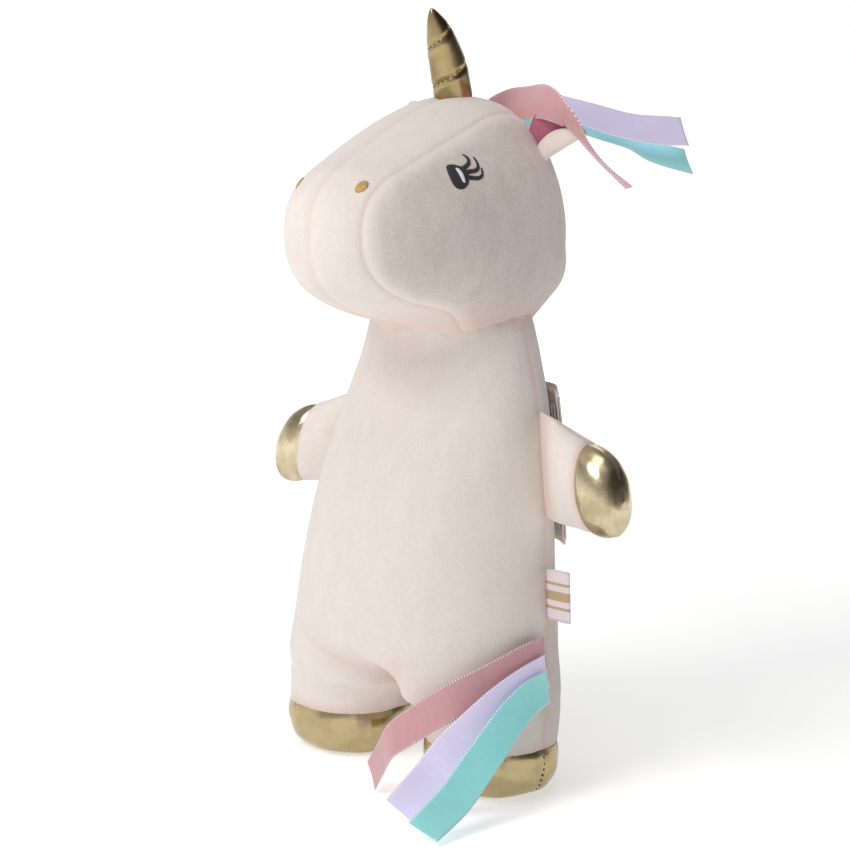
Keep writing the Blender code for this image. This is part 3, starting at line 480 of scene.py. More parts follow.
def crackled_gold(name, light, deep):
    """Coated cloth: a pale leaf with fine cracks, soft creases, and slightly duller patches."""
    f = Finish(name, Metallic=1.0)
    crease = f.noise(f.place((1, 1, 0.6)), 62, 2.0, 0.45)
    grain = f.noise(f.place(), 900, 2.0, 0.6)
    cracks = f.cells(f.place(), 420).between(0.0, 0.05)
    patches = f.noise(f.place(), 60, 3.0, 0.55).between(0.30, 0.60)
    leaf = f.blend(patches, deep, light)
    f.to("Base Color", f.blend(cracks * 0.22 + 0.78, rgb(0.28, 0.19, 0.09), leaf))
    f.to("Roughness", 0.27 - patches * 0.05 + grain * 0.04)
    return f.relief(crease + cracks * 0.008 + grain * 0.01, 0.0022, 0.4).material


def satin(name, light, deep, glow):
    """Ribbon satin: fine weft ridges, slow streaks of painted sheen in its colour, a dotted looped edge at
    both sides, and a painted glow of its own colour that stands in for light coming through the thin cloth."""
    f = Finish(name, Roughness=0.42, Sheen_Weight=0.3, Sheen_Roughness=0.3, Specular_IOR_Level=0.5,
               Emission_Strength=glow)
    across, along = f.weave()
    edge = (across * 2 - 1).size().between(0.86, 0.93)
    loops = (along * (2 * pi / 0.0018)).sine().between(-0.3, 0.6)
    weft = (along * (2 * pi / 0.0007)).sine()
    drawn = f.node("ShaderNodeCombineXYZ", {}, {0: across * 1.6, 1: along * 260})
    sheen_streak = f.noise(drawn, 1.0, 3.0)
    # painted sheen: slow streaks shift the colour between its light and deep tones
    cloth = f.blend(sheen_streak.between(0.3, 0.75) * 0.16 + edge * 0.35, light, deep)
    cloth = f.blend(edge * loops * 0.75, cloth, rgb(0.86, 0.84, 0.86))
    # the colour also glows: painted light standing in for light through the thin cloth
    f.to("Base Color", cloth).to("Emission Color", cloth)
    return f.relief(weft * 0.12 + loops * edge * 0.9 + edge * 0.6 + sheen_streak * 0.1, 0.0002, 0.5).material


def thread(name, colour, deep, shine, metal=0.0):
    """Satin stitch: a fine grain drawn out along the threads."""
    f = Finish(name, Roughness=shine, Metallic=metal, Sheen_Weight=0.2)
    lie = f.noise(f.place((2.6, 1, 0.35)), 1500, 2.0)
    f.to("Base Color", f.blend(lie.between(0.35, 0.65), deep, colour))
    return f.relief(lie, 0.0005, 0.8).material


def looped_tape(name, colour, deep):
    """Hook-and-loop tape: a dense, uneven field."""
    f = Finish(name, Roughness=0.9)
    field = f.noise(f.place(), 1300, 3.0, 0.7)
    f.to("Base Color", f.blend(field.between(0.3, 0.7), deep, colour))
    return f.relief(field, 0.0012, 0.9).material


def woven_label(name):
    """Label satin with three plain woven stripes along it."""
    f = Finish(name, Roughness=0.5, Sheen_Weight=0.2)
    across, along = f.weave()
    rib = (across * 210).sine()
    off_middle = (across - 0.5).size()
    stripe = off_middle.between(0.10, 0.085) + (off_middle - 0.24).size().between(0.035, 0.022)
    f.to("Base Color", f.blend(stripe, rgb(0.80, 0.70, 0.735), rgb(0.50, 0.36, 0.20)))
    return f.relief(rib * 0.5 + (along * 9000).sine() * 0.4, 0.00018, 0.7).material


# colours: light and deep pile, a painted warm shade for folds and seams, and the greyer pile that is partly
# turned pile and partly painted shade
BLUSH = velour("blush_velour", rgb(0.83, 0.765, 0.72), rgb(0.58, 0.505, 0.46), rgb(0.66, 0.44, 0.37),
               rgb(0.64, 0.575, 0.53), rgb(0.36, 0.31, 0.28))
ROSE = velour("rose_velour", rgb(0.50, 0.155, 0.235), rgb(0.25, 0.055, 0.10), rgb(0.20, 0.04, 0.08),
              rgb(0.44, 0.13, 0.20), rgb(0.22, 0.05, 0.09))
GOLD = crackled_gold("crackled_gold", rgb(0.48, 0.39, 0.215), rgb(0.41, 0.325, 0.17))
# a darker copy of the same gold for the horn: painted shade standing in for the darker reflections on it
SHADED_GOLD = crackled_gold("shaded_gold", rgb(0.37, 0.285, 0.145), rgb(0.24, 0.17, 0.08))
# a paler copy for the arm hooves: partly their own paler champagne colour, partly painted light for their
# bright highlights
PALE_LIT_GOLD = crackled_gold("pale_lit_gold", rgb(0.66, 0.57, 0.39), rgb(0.46, 0.375, 0.225))
# the last number is each satin's painted glow
SATIN = {
    "rose": satin("rose_satin", rgb(0.56, 0.30, 0.315), rgb(0.38, 0.17, 0.185), 0.06),
    "lilac": satin("lilac_satin", rgb(0.64, 0.585, 0.80), rgb(0.50, 0.44, 0.66), 0.17),
    "turquoise": satin("turquoise_satin", rgb(0.27, 0.66, 0.655), rgb(0.16, 0.50, 0.49), 0.18),
}
# paler copies of the lilac and turquoise satin with more painted glow: painted light on the mane ribbons
MANE_SATIN = {
    "rose": SATIN["rose"],
    "lilac": satin("lilac_satin_glowing", rgb(0.66, 0.60, 0.81), rgb(0.54, 0.48, 0.69), 0.22),
    "turquoise": satin("turquoise_satin_glowing", rgb(0.33, 0.70, 0.70), rgb(0.22, 0.57, 0.57), 0.24),
}
BLACK = thread("black_thread", rgb(0.016, 0.016, 0.022), rgb(0.005, 0.005, 0.008), 0.5)
WHITE = thread("white_thread", rgb(0.86, 0.86, 0.88), rgb(0.6, 0.6, 0.64), 0.5)
GOLD_THREAD = thread("gold_thread", rgb(0.66, 0.46, 0.16), rgb(0.38, 0.24, 0.07), 0.4, 0.35)
SEAM_THREAD = thread("seam_thread", rgb(0.52, 0.44, 0.40), rgb(0.36, 0.29, 0.26), 0.7)
DARK_THREAD = thread("dark_thread", rgb(0.16, 0.10, 0.05), rgb(0.07, 0.04, 0.02), 0.6)
TAPE = looped_tape("looped_tape", rgb(0.74, 0.66, 0.62), rgb(0.50, 0.43, 0.40))
LABEL = woven_label("woven_label")


# ---- torso and feet ----
def arch(angle, half, depth):
    """A rounded half section: half cos(angle) and depth sin(angle), each to the power 2 / 2.3."""
    c, s = np.cos(angle), np.sin(angle)
    return half * np.sign(c) * np.abs(c) ** (2 / SECTION_POWER), depth * np.abs(s) ** (2 / SECTION_POWER)


def torso_surface(z, t, face, lift=0.0):
    """The left half, t from the side seam (0) to the middle or inner leg seam (1): one rounded
    section above the crotch, which parts into two legs below it."""
    _, wide, front, back, seam_y = station(TORSO, z)
    wide, deep = wide + lift, (front if face < 0 else back) + lift
    rise = np.clip((z - CROTCH_Z) / LEG_BLEND, 0, 1)
    part = (1 - rise) ** 2 * (1 + 0.5 * rise)
    under = np.clip((CROTCH_Z - z) / (CROTCH_Z - FOOT_SEAM_Z), 0, 1)
    inner = LEG_INNER_X * np.sqrt(1 - (1 - under) ** 2)
    x0, y0 = arch(t * pi / 2, wide, deep)
    slim = 1 - smooth(z, FOOT_SEAM_Z, CROTCH_Z + LEG_BLEND)
    x1, y1 = arch(t * pi, (wide - inner) / 2, slim * LEG_DEPTH[0 if face < 0 else 1] + (1 - slim) * deep)
    x = (1 - part) * x0 + part * (x1 + (wide + inner) / 2)
    return np.stack([x, seam_y + face * ((1 - part) * y0 + part * y1), z + 0 * t], -1)


def foot_surface(row, t, face):
    """The left foot on a row of its profile: the leg's section shrunk by the row's share."""
    share, height = np.moveaxis(spline(FOOT, row), -1, 0)
    share, height = np.clip(share, 0, None), np.maximum(height, 0)
    _, wide, _, _, seam_y = station(TORSO, FOOT_SEAM_Z + 0 * row)
    half = (wide - LEG_INNER_X) / 2 * np.maximum(share, FOOT_SOLE)
    x, y = arch(t * pi, half, LEG_DEPTH[0 if face < 0 else 1] * share)
    return np.stack([x + (wide + LEG_INNER_X) / 2, seam_y + face * y, height + 0 * t], -1)


def neck_lip(rim):
    """Rows that carry the torso's cloth up and in under the head, shrinking as they rise."""
    seam_y = TORSO[-1][4]
    rows = []
    for share, up in ((0.985, 3.0), (0.95, 7.0), (0.88, 11.0), (0.76, 14.0)):
        row = rim.copy()
        row[:, 0] *= share
        row[:, 1] = seam_y + (row[:, 1] - seam_y) * share
        row[:, 2] += up
        rows.append(row)
    return np.array(rows)


def make_torso():
    t = np.linspace(0, 1, 31)
    low = FOOT_SEAM_Z + (CROTCH_Z - FOOT_SEAM_Z) * np.sin(np.linspace(0, pi / 2, 11))
    high = np.concatenate([np.linspace(CROTCH_Z, 86, 13), np.linspace(86, NECK_Z, 50)[1:]])
    grids, seam, edge, crease, nap_and_shade = [], [], [], [], []
    for face in (-1, 1):
        for heights in (low, high):
            z, across = crossed(heights, t)
            g = torso_surface(z, across, face)
            if heights is high:
                g = np.concatenate([g, neck_lip(g[-1])])
            seam_y = station(TORSO, g[..., 2])[4]
            off = np.abs(g[..., 1] - seam_y) + 200 * smooth(g[..., 2], 270, 272)
            rim = np.minimum(np.abs(g[..., 2] - FOOT_SEAM_Z), np.abs(g[..., 2] - NECK_Z))
            # a soft fold climbs from the crotch over each leg, fainter behind; it dents the cloth and also
            # carries painted warm shade
            line = 57 + 0.52 * np.abs(g[..., 0])
            fold = dip(g[..., 2] - line, 5.5) * smooth(-np.abs(g[..., 0]), -62, -20)
            fold = fold * (0.9 if face < 0 else 0.5) + 0.8 * dip(g[..., 0], 7) * dip(g[..., 2] - 60, 12)
            for side in (g, mirrored(g)):
                grids.append(side)
                seam.append(off)
                edge.append(rim)
                crease.append(fold)
                # the back panel's greyer pile: partly the turned pile, partly painted shade
                nap_and_shade.append(0.4 * smooth(off, 0, 4) * (face > 0))
    facts = {"seam": seam, "rim": edge, "fold": crease, "nap_and_shade": nap_and_shade}
    piece = fabric("torso_velour", grids, BLUSH, facts)
    off, rim, fold = fact(piece, "seam"), fact(piece, "rim"), fact(piece, "fold")
    stuff(piece, (off < 0.2) | (rim < 0.4), 2.6)
    co = read(piece.data.vertices, "co") / MM
    turn = np.arctan2(co[:, 1] - MIDDLE_Y, co[:, 0])
    gathers = np.sin(turn * 34) * dip(NECK_Z - co[:, 2], 9) * 0.35
    swell(piece, gathers - SEAM_DEPTH * dip(off, SEAM_WIDTH) - PILLOW_DEPTH * dip(off, PILLOW_WIDTH)
          - 0.6 * dip(rim, 2.4) - 0.35 * fold)
    # painted warm shade in the folds, along the side seams and at the foot and neck rims
    painted_shade = np.clip(0.32 * fold + 0.4 * dip(off, 2.0) + 0.55 * dip(rim, 3.5), 0, 1)
    tell(piece, "fold", painted_shade)
    refine(piece)
    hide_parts("torso_front_panel", "torso_back_panel", "torso_stuffing")
    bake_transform(piece)
    for side, mirror in SIDES:
        heights = np.linspace(31, 268, 240)
        line = mirror(torso_surface(heights, 0 * heights, -1, -1.4))
        middles, along = along_line(line, STITCH[2])
        normals = mirror(np.tile([1.0, 0.0, 0.0], (len(middles), 1)))
        made = stitches(f"side_seam_{side}", middles, along, normals, SEAM_THREAD)
        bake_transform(made)
        make_foot(side, mirror)


def make_foot(side, mirror):
    t, rows = np.linspace(0, 1, 37), np.concatenate([np.linspace(0, 6, 31), [6.5, 7, 7.5, 8]])
    row, across = crossed(rows, t)
    grids, seam, edge = [], [], []
    for face in (-1, 1):
        g = foot_surface(row, across, face)
        grids.append(mirror(g))
        seam.append(np.abs(g[..., 1] - TORSO[0][4]) + 60 * smooth(row, 4.5, 6))
        edge.append(np.abs(g[..., 2] - FOOT_SEAM_Z))
    piece = fabric(f"foot_{side}_gold", grids, GOLD, {"seam": seam, "rim": edge})
    off, rim = fact(piece, "seam"), fact(piece, "rim")
    co = read(piece.data.vertices, "co") / MM
    floor = co[:, 2] < 0.6
    stuff(piece, (rim < 0.3) | (off < 0.2) | floor, 1.6)
    turn = np.arctan2(co[:, 1] - MIDDLE_Y - TORSO[0][4], np.abs(co[:, 0]) - 59)
    pucker = 0.4 * np.sin(turn * 31) * dip(FOOT_SEAM_Z - co[:, 2], 6)
    pucker = pucker + 0.25 * np.sin(turn * 7 + co[:, 2] * 0.4)
    swell(piece, np.where(floor, 0, pucker - 0.6 * dip(rim, 1.8) - 1.0 * dip(off, 1.6)))
    refine(piece)
    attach(piece, "torso")
    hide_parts(f"foot_{side}_hoof_front", f"foot_{side}_hoof_back")
    rows = np.linspace(0.35, 5.2, 60)
    middles, along = along_line(mirror(foot_surface(rows, 0 * rows, -1)), STITCH[2])
    made = stitches(f"foot_{side}_seam", middles - mirror(np.array([0.5, 0, 0])), along,
                    mirror(np.tile([1.0, 0, 0], (len(middles), 1))), DARK_THREAD)
    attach(made, "torso")


# ---- head ----
def head_surface(s, x):
    """The outline at s, shrunk towards the cheek line by (1 - (x / half)^p)^(1 / q) at x from the middle."""
    y, z, _ = np.moveaxis(spline(HEAD, s, ring=True), -1, 0)
    cy, cz = HEAD_CENTRE
    power = HEAD_POWER_X + NECK_FULLNESS * smooth(y, -65, -30) * smooth(-z, -308, -280)
    k = (1 - np.minimum(1, np.abs(x) / HEAD_HALF_WIDTH) ** power) ** (1 / HEAD_POWER_K)
    return np.stack([x + 0 * y, cy + (y - cy) * k, cz + (z - cz) * k], -1)


def panel_seam(s):
    """How far the centre panel's seam lies from the middle; 0 where the cheeks meet each other."""
    inside = (s > PANEL_START) & (s < PANEL_END)
    return np.where(inside, np.maximum(0, spline(HEAD, s, ring=True)[..., 2]), 0)


def make_head():
    round_steps = np.concatenate([np.linspace(0, 4, 19)[:-1], np.linspace(4, 21, 111), [21.5, 22]])
    panel = (round_steps >= PANEL_START) & (round_steps <= PANEL_END)
    s, f = crossed(round_steps[panel], np.sin(np.linspace(-pi / 2, pi / 2, 23)))
    centre = head_surface(s, f * panel_seam(s))
    centre_off = np.linalg.norm(centre - head_surface(s, np.sign(f) * panel_seam(s)), axis=-1)
    s2, w = crossed(round_steps, np.linspace(0, 1, 29) ** 1.25)
    start = np.arcsin(panel_seam(s2) / HEAD_HALF_WIDTH)
    cheek = head_surface(s2, HEAD_HALF_WIDTH * np.sin(start + (pi / 2 - start) * w))
    cheek_off = np.linalg.norm(cheek - head_surface(s2, panel_seam(s2)), axis=-1)
    grids, off = [centre, cheek, mirrored(cheek)], [centre_off, cheek_off, cheek_off]
    # the cheeks' greyer pile: partly the turned pile, partly painted shade
    nap_and_shade = [0 * centre_off, smooth(cheek_off, 0, 14), smooth(cheek_off, 0, 14)]
    piece = fabric("head_velour", grids, BLUSH, {"seam": off, "fold": off, "nap_and_shade": nap_and_shade})
    off = fact(piece, "seam")
    stuff(piece, off < 0.2, 2.4)
    swell(piece, 0.6 - SEAM_DEPTH * dip(off, SEAM_WIDTH) - 1.3 * PILLOW_DEPTH * dip(off, PILLOW_WIDTH))
    co = read(piece.data.vertices, "co") / MM
    # painted warm shade along the panel seams and under the head, down towards the neck
    painted_shade = np.clip(0.22 * dip(off, 1.6) + 0.4 * smooth(-co[:, 2], -284, -268), 0, 1)
    tell(piece, "fold", painted_shade)
    refine(piece)
    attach(piece, "head")
    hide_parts("head_centre_panel", "head_left_panel", "head_right_panel", "head_stuffing")
    make_faces(piece)
    return piece


# ---- embroidery ----
def spot_on_head(at):
    """A place on the head and its outward direction."""
    s, x = np.array(at[0]), np.array(at[1])
    here = head_surface(s, x)
    normal = unit(np.cross(head_surface(s + 0.05, x) - head_surface(s - 0.05, x),
                           head_surface(s, x + 0.5) - head_surface(s, x - 0.5)))
    normal *= np.sign(normal @ (here - np.array([0, *HEAD_CENTRE])))
    return here, normal


def emboss(name, shape, at, up, finish, target, mirror):
    """Raised stitching: a flat grid laid on the head's surface and lifted by its height."""
    local, height = shape
    here, normal = spot_on_head(at)
    upward = unit(np.array(up, float) - normal * (np.array(up, float) @ normal))
    across = np.cross(upward, normal)
    grid = mirror(here + local[..., :1] * across + local[..., 1:] * upward)
    piece = fabric(name, [grid], finish, {"height": [height]}, outward=False)
    lay = piece.modifiers.new("laid", "SHRINKWRAP")
    lay.target, lay.wrap_method = target, "NEAREST_SURFACEPOINT"
    evaluated = piece.evaluated_get(bpy.context.evaluated_depsgraph_get())
    laid = read(evaluated.data.vertices, "co")
    piece.modifiers.remove(lay)
    move_to(piece.data, laid + mirror(normal) * fact(piece, "height")[:, None] * MM)
    if read(piece.data.polygons, "normal").sum(0) @ mirror(normal) < 0:
        piece.data.flip_normals()
    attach(piece, "head")
    return piece


def patch_of(outline, tall, lift=0.0):
    """A closed outline filled from its middle, domed as tall * (1 - r^4)^0.5 above a skirt."""
    ring = spline(outline, np.linspace(0, len(outline), 61), ring=True)
    middle = np.mean(outline, 0)
    r = np.array([0, 0.25, 0.5, 0.7, 0.84, 0.93, 0.98, 1.0])
    local = middle + (ring - middle) * r[:, None, None]
    return local, np.tile((tall * np.sqrt(1 - r ** 4) + lift - 0.25 * (r > 0.999))[:, None], (1, 61))


def stroke_of(points, wide, tall):
    """A tapering stroke along a line: half width w(1 - 0.65 s^1.5), domed across as (1 - v^2)^0.5."""
    s = np.linspace(0, len(points) - 1, 25)
    line, share = spline(points, s), s / (len(points) - 1)
    run = unit(np.gradient(line, axis=0))
    side = np.stack([-run[:, 1], run[:, 0]], 1)
    v = np.sin(np.linspace(-pi / 2, pi / 2, 9))
    half = wide / 2 * (1 - 0.65 * share ** 1.5)
    local = line[:, None] + side[:, None] * (v[:, None] * half[:, None, None])
    return local, tall * np.sqrt(np.maximum(0, 1 - v ** 2))[None] * (1 - 0.4 * share[:, None]) - 0.15


def oval(half_wide, half_high, lean):
    a = np.linspace(0, 2 * pi, 15)[:-1]
    turn = radians(lean)
    p = np.stack([half_wide * np.cos(a), half_high * np.sin(a)], 1)
    return p @ np.array([[cos(turn), sin(turn)], [-sin(turn), cos(turn)]])


def make_faces(head):
    up = (0, 0.25, 1)
    for side, mirror in SIDES:
        shape = patch_of(EYE_OUTLINE, 0.9)
        iris = emboss(f"eye_{side}_black", shape, EYE_AT, up, BLACK, head, mirror)
        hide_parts(f"eye_{side}_iris")
        shape = patch_of(GLINT_OUTLINE, 0.4, 1.0)
        glint = emboss(f"eye_{side}_highlight", shape, EYE_AT, up, WHITE, head, mirror)
        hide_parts(f"eye_{side}_glint")
        for word, points in LASHES.items():
            shape = stroke_of(points, LASH_WIDTH, 0.9)
            lash = emboss(f"lash_{side}_{word}", shape, EYE_AT, up, BLACK, head, mirror)
            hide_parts(f"eye_{side}_lash_{word}")
        shape = patch_of(oval(3.1, 4.6, -20), 0.9)
        made = emboss(f"nostril_{side}_gold", shape, NOSTRIL_AT, (0, 0.6, 1), GOLD_THREAD,
                      head, mirror)
        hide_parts(f"nostril_{side}")


# ---- horn ----
HELIX_PITCH, HELIX_START = 23.0, 15.9


def horn_surface(distance, angle, lift=0.0):
    """A blunt cone whose axis leans further forward as it rises."""
    share = np.clip(distance / HORN_LENGTH, 0, 1)
    lean = radians(HORN_LEAN) * (0.75 + 0.5 * share)
    blunt = np.maximum(0, 1 - share ** 2.6) ** 0.62
    radius = HORN_RADIUS * (0.97 + 0.12 * share - 0.28 * share * share) * blunt + lift
    y = HORN_Y - np.sin(lean) * distance - radius * np.sin(angle) * np.cos(lean)
    z = HORN_BASE_Z + np.cos(lean) * distance - radius * np.sin(angle) * np.sin(lean)
    return np.stack([radius * np.cos(angle), y, z], -1)


def helix_gap(distance, angle):
    """How far along the horn a point is from the nearest turn of the wound line."""
    turns = (distance - HELIX_START) / HELIX_PITCH + angle / (2 * pi)
    return (turns - np.round(turns)) * HELIX_PITCH


def make_horn():
    share = np.sin(np.linspace(0, pi / 2, 56)) ** 1.15
    d, angle = crossed(np.append(-4.0, HORN_LENGTH * share), np.linspace(0, 2 * pi, 57))
    near = 1 - smooth(d, 44, 50)
    lift = -1.0 * dip(helix_gap(d, angle), 1.2) * near + 0.4 * dip(helix_gap(d, angle), 6.5) * near
    g = horn_surface(d, angle, np.where(d >= HORN_LENGTH - 0.01, 0, lift))
    piece = refine(fabric("horn_gold", [g], SHADED_GOLD))
    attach(piece, "horn")
    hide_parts("horn_cover", "horn_stuffing")
    turns = np.linspace(-0.6, 1.35, 400)
    wound = -2 * pi * turns
    line = horn_surface(HELIX_START + HELIX_PITCH * turns, wound, -0.35)
    middles, along = along_line(line, 3.4)
    axis = horn_surface(np.linspace(0, 50, 60), np.full(60, 0.0)) * (0, 1, 1)
    nearest = axis[np.argmin(np.linalg.norm(middles[:, None] - axis[None], axis=2), axis=1)]
    made = stitches("horn_stitching", middles, along, unit(middles - nearest), DARK_THREAD, 2.2, 0.5)
    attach(made, "horn")


# ---- arms ----
def side_line(low, high, standoff):
    z = np.array([low, high], float)
    _, wide, _, _, seam_y = station(TORSO, z)
    return np.stack([wide + standoff, seam_y, z], 1)


def arm_frame(side):
    low, high = side_line(ARM_Z - ARM_HALF_HEIGHT, ARM_Z + ARM_HALF_HEIGHT, ARM_STANDOFF)
    along = unit(high - low)
    droop, fore = radians(ARM_DROOP[side]), radians(ARM_FORWARD)
    out = np.array([cos(droop) * cos(fore), -sin(fore), -sin(droop)])
    front = unit(np.cross(out, along))
    return (low + high) / 2, along, out, -front if front[1] > 0 else front


def arm_surface(side, share, angle, face):
    """A flattened tube: its half height and thickness follow the table along the arm."""
    middle, along, out, front = arm_frame(side)
    rows = np.array(ARM)
    _, high, thick = np.moveaxis(spline(rows, np.interp(share, rows[:, 0], np.arange(len(rows)))), -1, 0)
    tip = share >= 0.9999
    y = np.sin(angle) * np.where(tip, 0, np.maximum(thick, 0)) * ARM_HALF_THICKNESS
    h = np.cos(angle) * np.where(tip, 0, np.maximum(high, 0)) * ARM_HALF_HEIGHT
    return middle + out * (ARM_LENGTH * share)[..., None] + along * h[..., None] + face * front * y[..., None]


def make_arm(side, mirror):
    angles = np.linspace(0, pi, 29)
    _, _, out, _ = arm_frame(side)
    for word, low, high, finish, slot, count in (
            ("sleeve", 0.0, ARM_GOLD, BLUSH, "velour", 21), ("hoof", ARM_GOLD, 1.0, PALE_LIT_GOLD, "gold", 25)):
        sleeve, rows = word == "sleeve", np.linspace(low, high, count)
        if not sleeve:
            rows = low + (high - low) * np.sin(np.linspace(0, pi / 2, count))
        share, angle = crossed(rows, angles)
        grids, seam, edge = [], [], []
        for face in (1, -1):
            g = arm_surface(side, share, angle, face)
            off = np.minimum(angle, pi - angle) * 26 + 40 * smooth(share, 0.97, 1)
            rim = np.abs(share - ARM_GOLD) * ARM_LENGTH
            if sleeve:
                g = np.concatenate([g[:1] - out * 6.5, g])
                off, rim = np.concatenate([off[:1], off]), np.concatenate([rim[:1], rim])
            grids.append(mirror(g))
            seam.append(off)
            edge.append(rim)
        facts = {"seam": seam, "rim": edge, "fold": edge}
        piece = fabric(f"arm_{side}_{word}", grids, finish, facts)
        off, rim = fact(piece, "seam"), fact(piece, "rim")
        root = sleeve & (rim > ARM_GOLD * ARM_LENGTH - 0.5)
        stuff(piece, (off < 0.2) | (rim < 0.3) | root, 1.4)
        swell(piece, np.where(root, 0, -0.9 * dip(off, 1.9) - 1.3 * dip(rim, 1.7)))
        # painted warm shade along the seams, at the sleeve's join with the hoof and towards the root at the
        # body
        painted_shade = np.clip(0.5 * dip(off, 2.0) + 0.5 * dip(rim, 2.5) + 0.35 * smooth(rim, 30, 39.6), 0, 1)
        tell(piece, "fold", painted_shade)
        refine(piece)
        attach(piece, f"arm_{side}")
        nodes = [f"arm_{side}_{word}_front", f"arm_{side}_{word}_back"]
        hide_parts(*nodes, *([f"arm_{side}_stuffing"] if word == "sleeve" else []))


# ---- ears ----
def ear_frame():
    seam = unit(np.array([-0.47, -0.21, 0.86]))
    out = np.array([0.83, 0.23, 0.51])
    out = unit(out - seam * (out @ seam))
    return np.array(EAR_ROOT) + out * EAR_STANDOFF, seam, out, np.cross(out, seam)


def ear_surface(lift, trim, rows, cols):
    """A leaf folded across its width: its heading turns smoothly by the curl within the
    fold, which leaves a tall back wall and a lower front one."""
    root, seam, out, front = ear_frame()
    f = np.linspace(0, 1, 241)
    heading = radians(EAR_CURL) * smooth(f, *EAR_FOLD)
    step = 2 / 240
    high, fore = -np.cumsum(np.cos(heading)) * step, np.cumsum(np.sin(heading)) * step
    high = high - high.min()
    pick = np.linspace(0, 240, cols).astype(int)
    section = np.stack([high, fore], 1)[pick]
    side = np.stack([np.sin(heading), np.cos(heading)], 1)[pick] * lift
    u = np.linspace(0, 1, rows)[:, None, None]
    wide = EAR_HALF_WIDTH * (0.62 + 1.45 * u - 1.4 * u * u) * (1 - u ** 6) + 1.4 * u - trim
    both = section * wide + side
    return root + out * (EAR_LENGTH - trim) * u + seam * both[..., :1] + front * both[..., 1:]


def make_ear(side, mirror):
    # the last number is painted warm shade over the outer ear; more painted shade is added towards both
    # pieces' edges below
    for word, lift, trim, finish, slot, fold in (("outer", 0.0, 0.0, BLUSH, "velour", 0.1),
                                                 ("lining", 2.2, 1.7, ROSE, "rose_velour", 0.0)):
        g = ear_surface(lift, trim, 27, 41)
        u, v = crossed(np.linspace(0, 1, 27), np.linspace(0, 1, 41))
        edge = np.minimum(np.minimum(v, 1 - v) * 2, 1 - u)
        piece = fabric(f"ear_{side}_{'velour' if word == 'outer' else 'inside'}", [mirror(g)], finish,
                       {"fold": [np.full(u.shape, fold) + 0.4 * dip(edge, 0.08)]}, outward=False)
        thicken(piece, 1.7, 0.0)
        refine(piece)
        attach(piece, f"ear_{side}")
        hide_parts(f"ear_{side}_{word}")


# ---- ribbons ----
RIBBON_CUP = 0.55


def ribbon_surface(route, wide=RIBBON_WIDTH, samples=16, cols=13):
    """A strip carried along its route, bowed across by cup * (1 - u^2) and waved along it."""
    steps = np.linspace(0, len(route) - 1, samples * (len(route) - 1) + 1)
    line, across = spline([p for p, _ in route], steps), spline([a for _, a in route], steps)
    run = unit(np.gradient(line, axis=0))
    across = unit(across - run * np.sum(across * run, 1)[:, None])
    normal = np.cross(run, across)
    u = np.linspace(-1, 1, cols)
    length = run_length(line)
    wave = 0.35 * np.sin(length / 9.0)
    grid = line[:, None] + across[:, None] * (u * wide / 2)[:, None] \
        + normal[:, None] * (RIBBON_CUP * (1 - u ** 2) + wave[:, None] * u)[..., None]
    along = np.repeat(length[:, None] * MM, cols, 1)
    return grid, np.broadcast_to((u + 1) / 2, grid.shape[:2]), along, length[-1]


def make_ribbons(routes, kind, satins):
    for colour, route in routes.items():
        grid, across, along, length = ribbon_surface(route)
        piece = strip(f"{kind}_{colour}", grid, satins[colour], 0.35, (across, along))
        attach(piece, kind)
        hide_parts(f"{kind}_ribbon_{colour}")
        length * MM


# ---- label, belt flap ----
def make_label():
    """A satin strip folded in two: out from the seam, round its fold and back."""
    low, high = side_line(*LABEL_Z, 1.0)
    bend = np.linspace(0, pi, 15)
    half = 1.05
    reach, apart = np.array([-2.0, 0, 3, 7, 11]), np.array([0.5, 0.6, half, half, half])
    out = np.concatenate([reach, LABEL_REACH - 3 + half * 1.6 * np.sin(bend), reach[::-1]])
    thick = np.concatenate([apart, half * np.cos(bend), -apart[::-1]])
    turn = np.stack([out, thick, 0 * out], 1)
    v = np.linspace(0, 1, 17)[:, None, None]
    grid = low + (high - low) * v + turn
    length = run_length(turn)
    across, along = crossed(v.ravel(), length * MM)
    piece = strip("woven_label_loop", grid, LABEL, 0.3, (across, along))
    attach(piece, "label")
    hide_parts("side_label")


def back_surface(z, t, lift):
    """Over the torso's back: t from -1 at the right side seam to 1 at the left one."""
    p = torso_surface(z, 1 - np.abs(t), 1, lift)
    return p * np.stack([np.sign(t), np.ones_like(t), np.ones_like(t)], -1)


def flap_lift(t):
    """How far the flap's lining stands off the torso: near it at its root and at the closure."""
    root, close = -(1 - FLAP_EDGE["right"]), 1 - PATCH_T[1] - 0.03
    closure = 2 * PATCH + 4 * GAP
    share = (t - root) / (close - root)
    up, down = np.sin(pi * np.minimum(1, share * 1.25) / 2), np.cos(pi * (share - 0.8) / 0.4) * 0.5 + 0.5
    rise = np.where(share < 0.8, up, down)
    low = np.where(share < 0.8, 1.0, closure)
    return np.where(t > close, closure, low + (FLAP_STANDOFF - low) * rise)


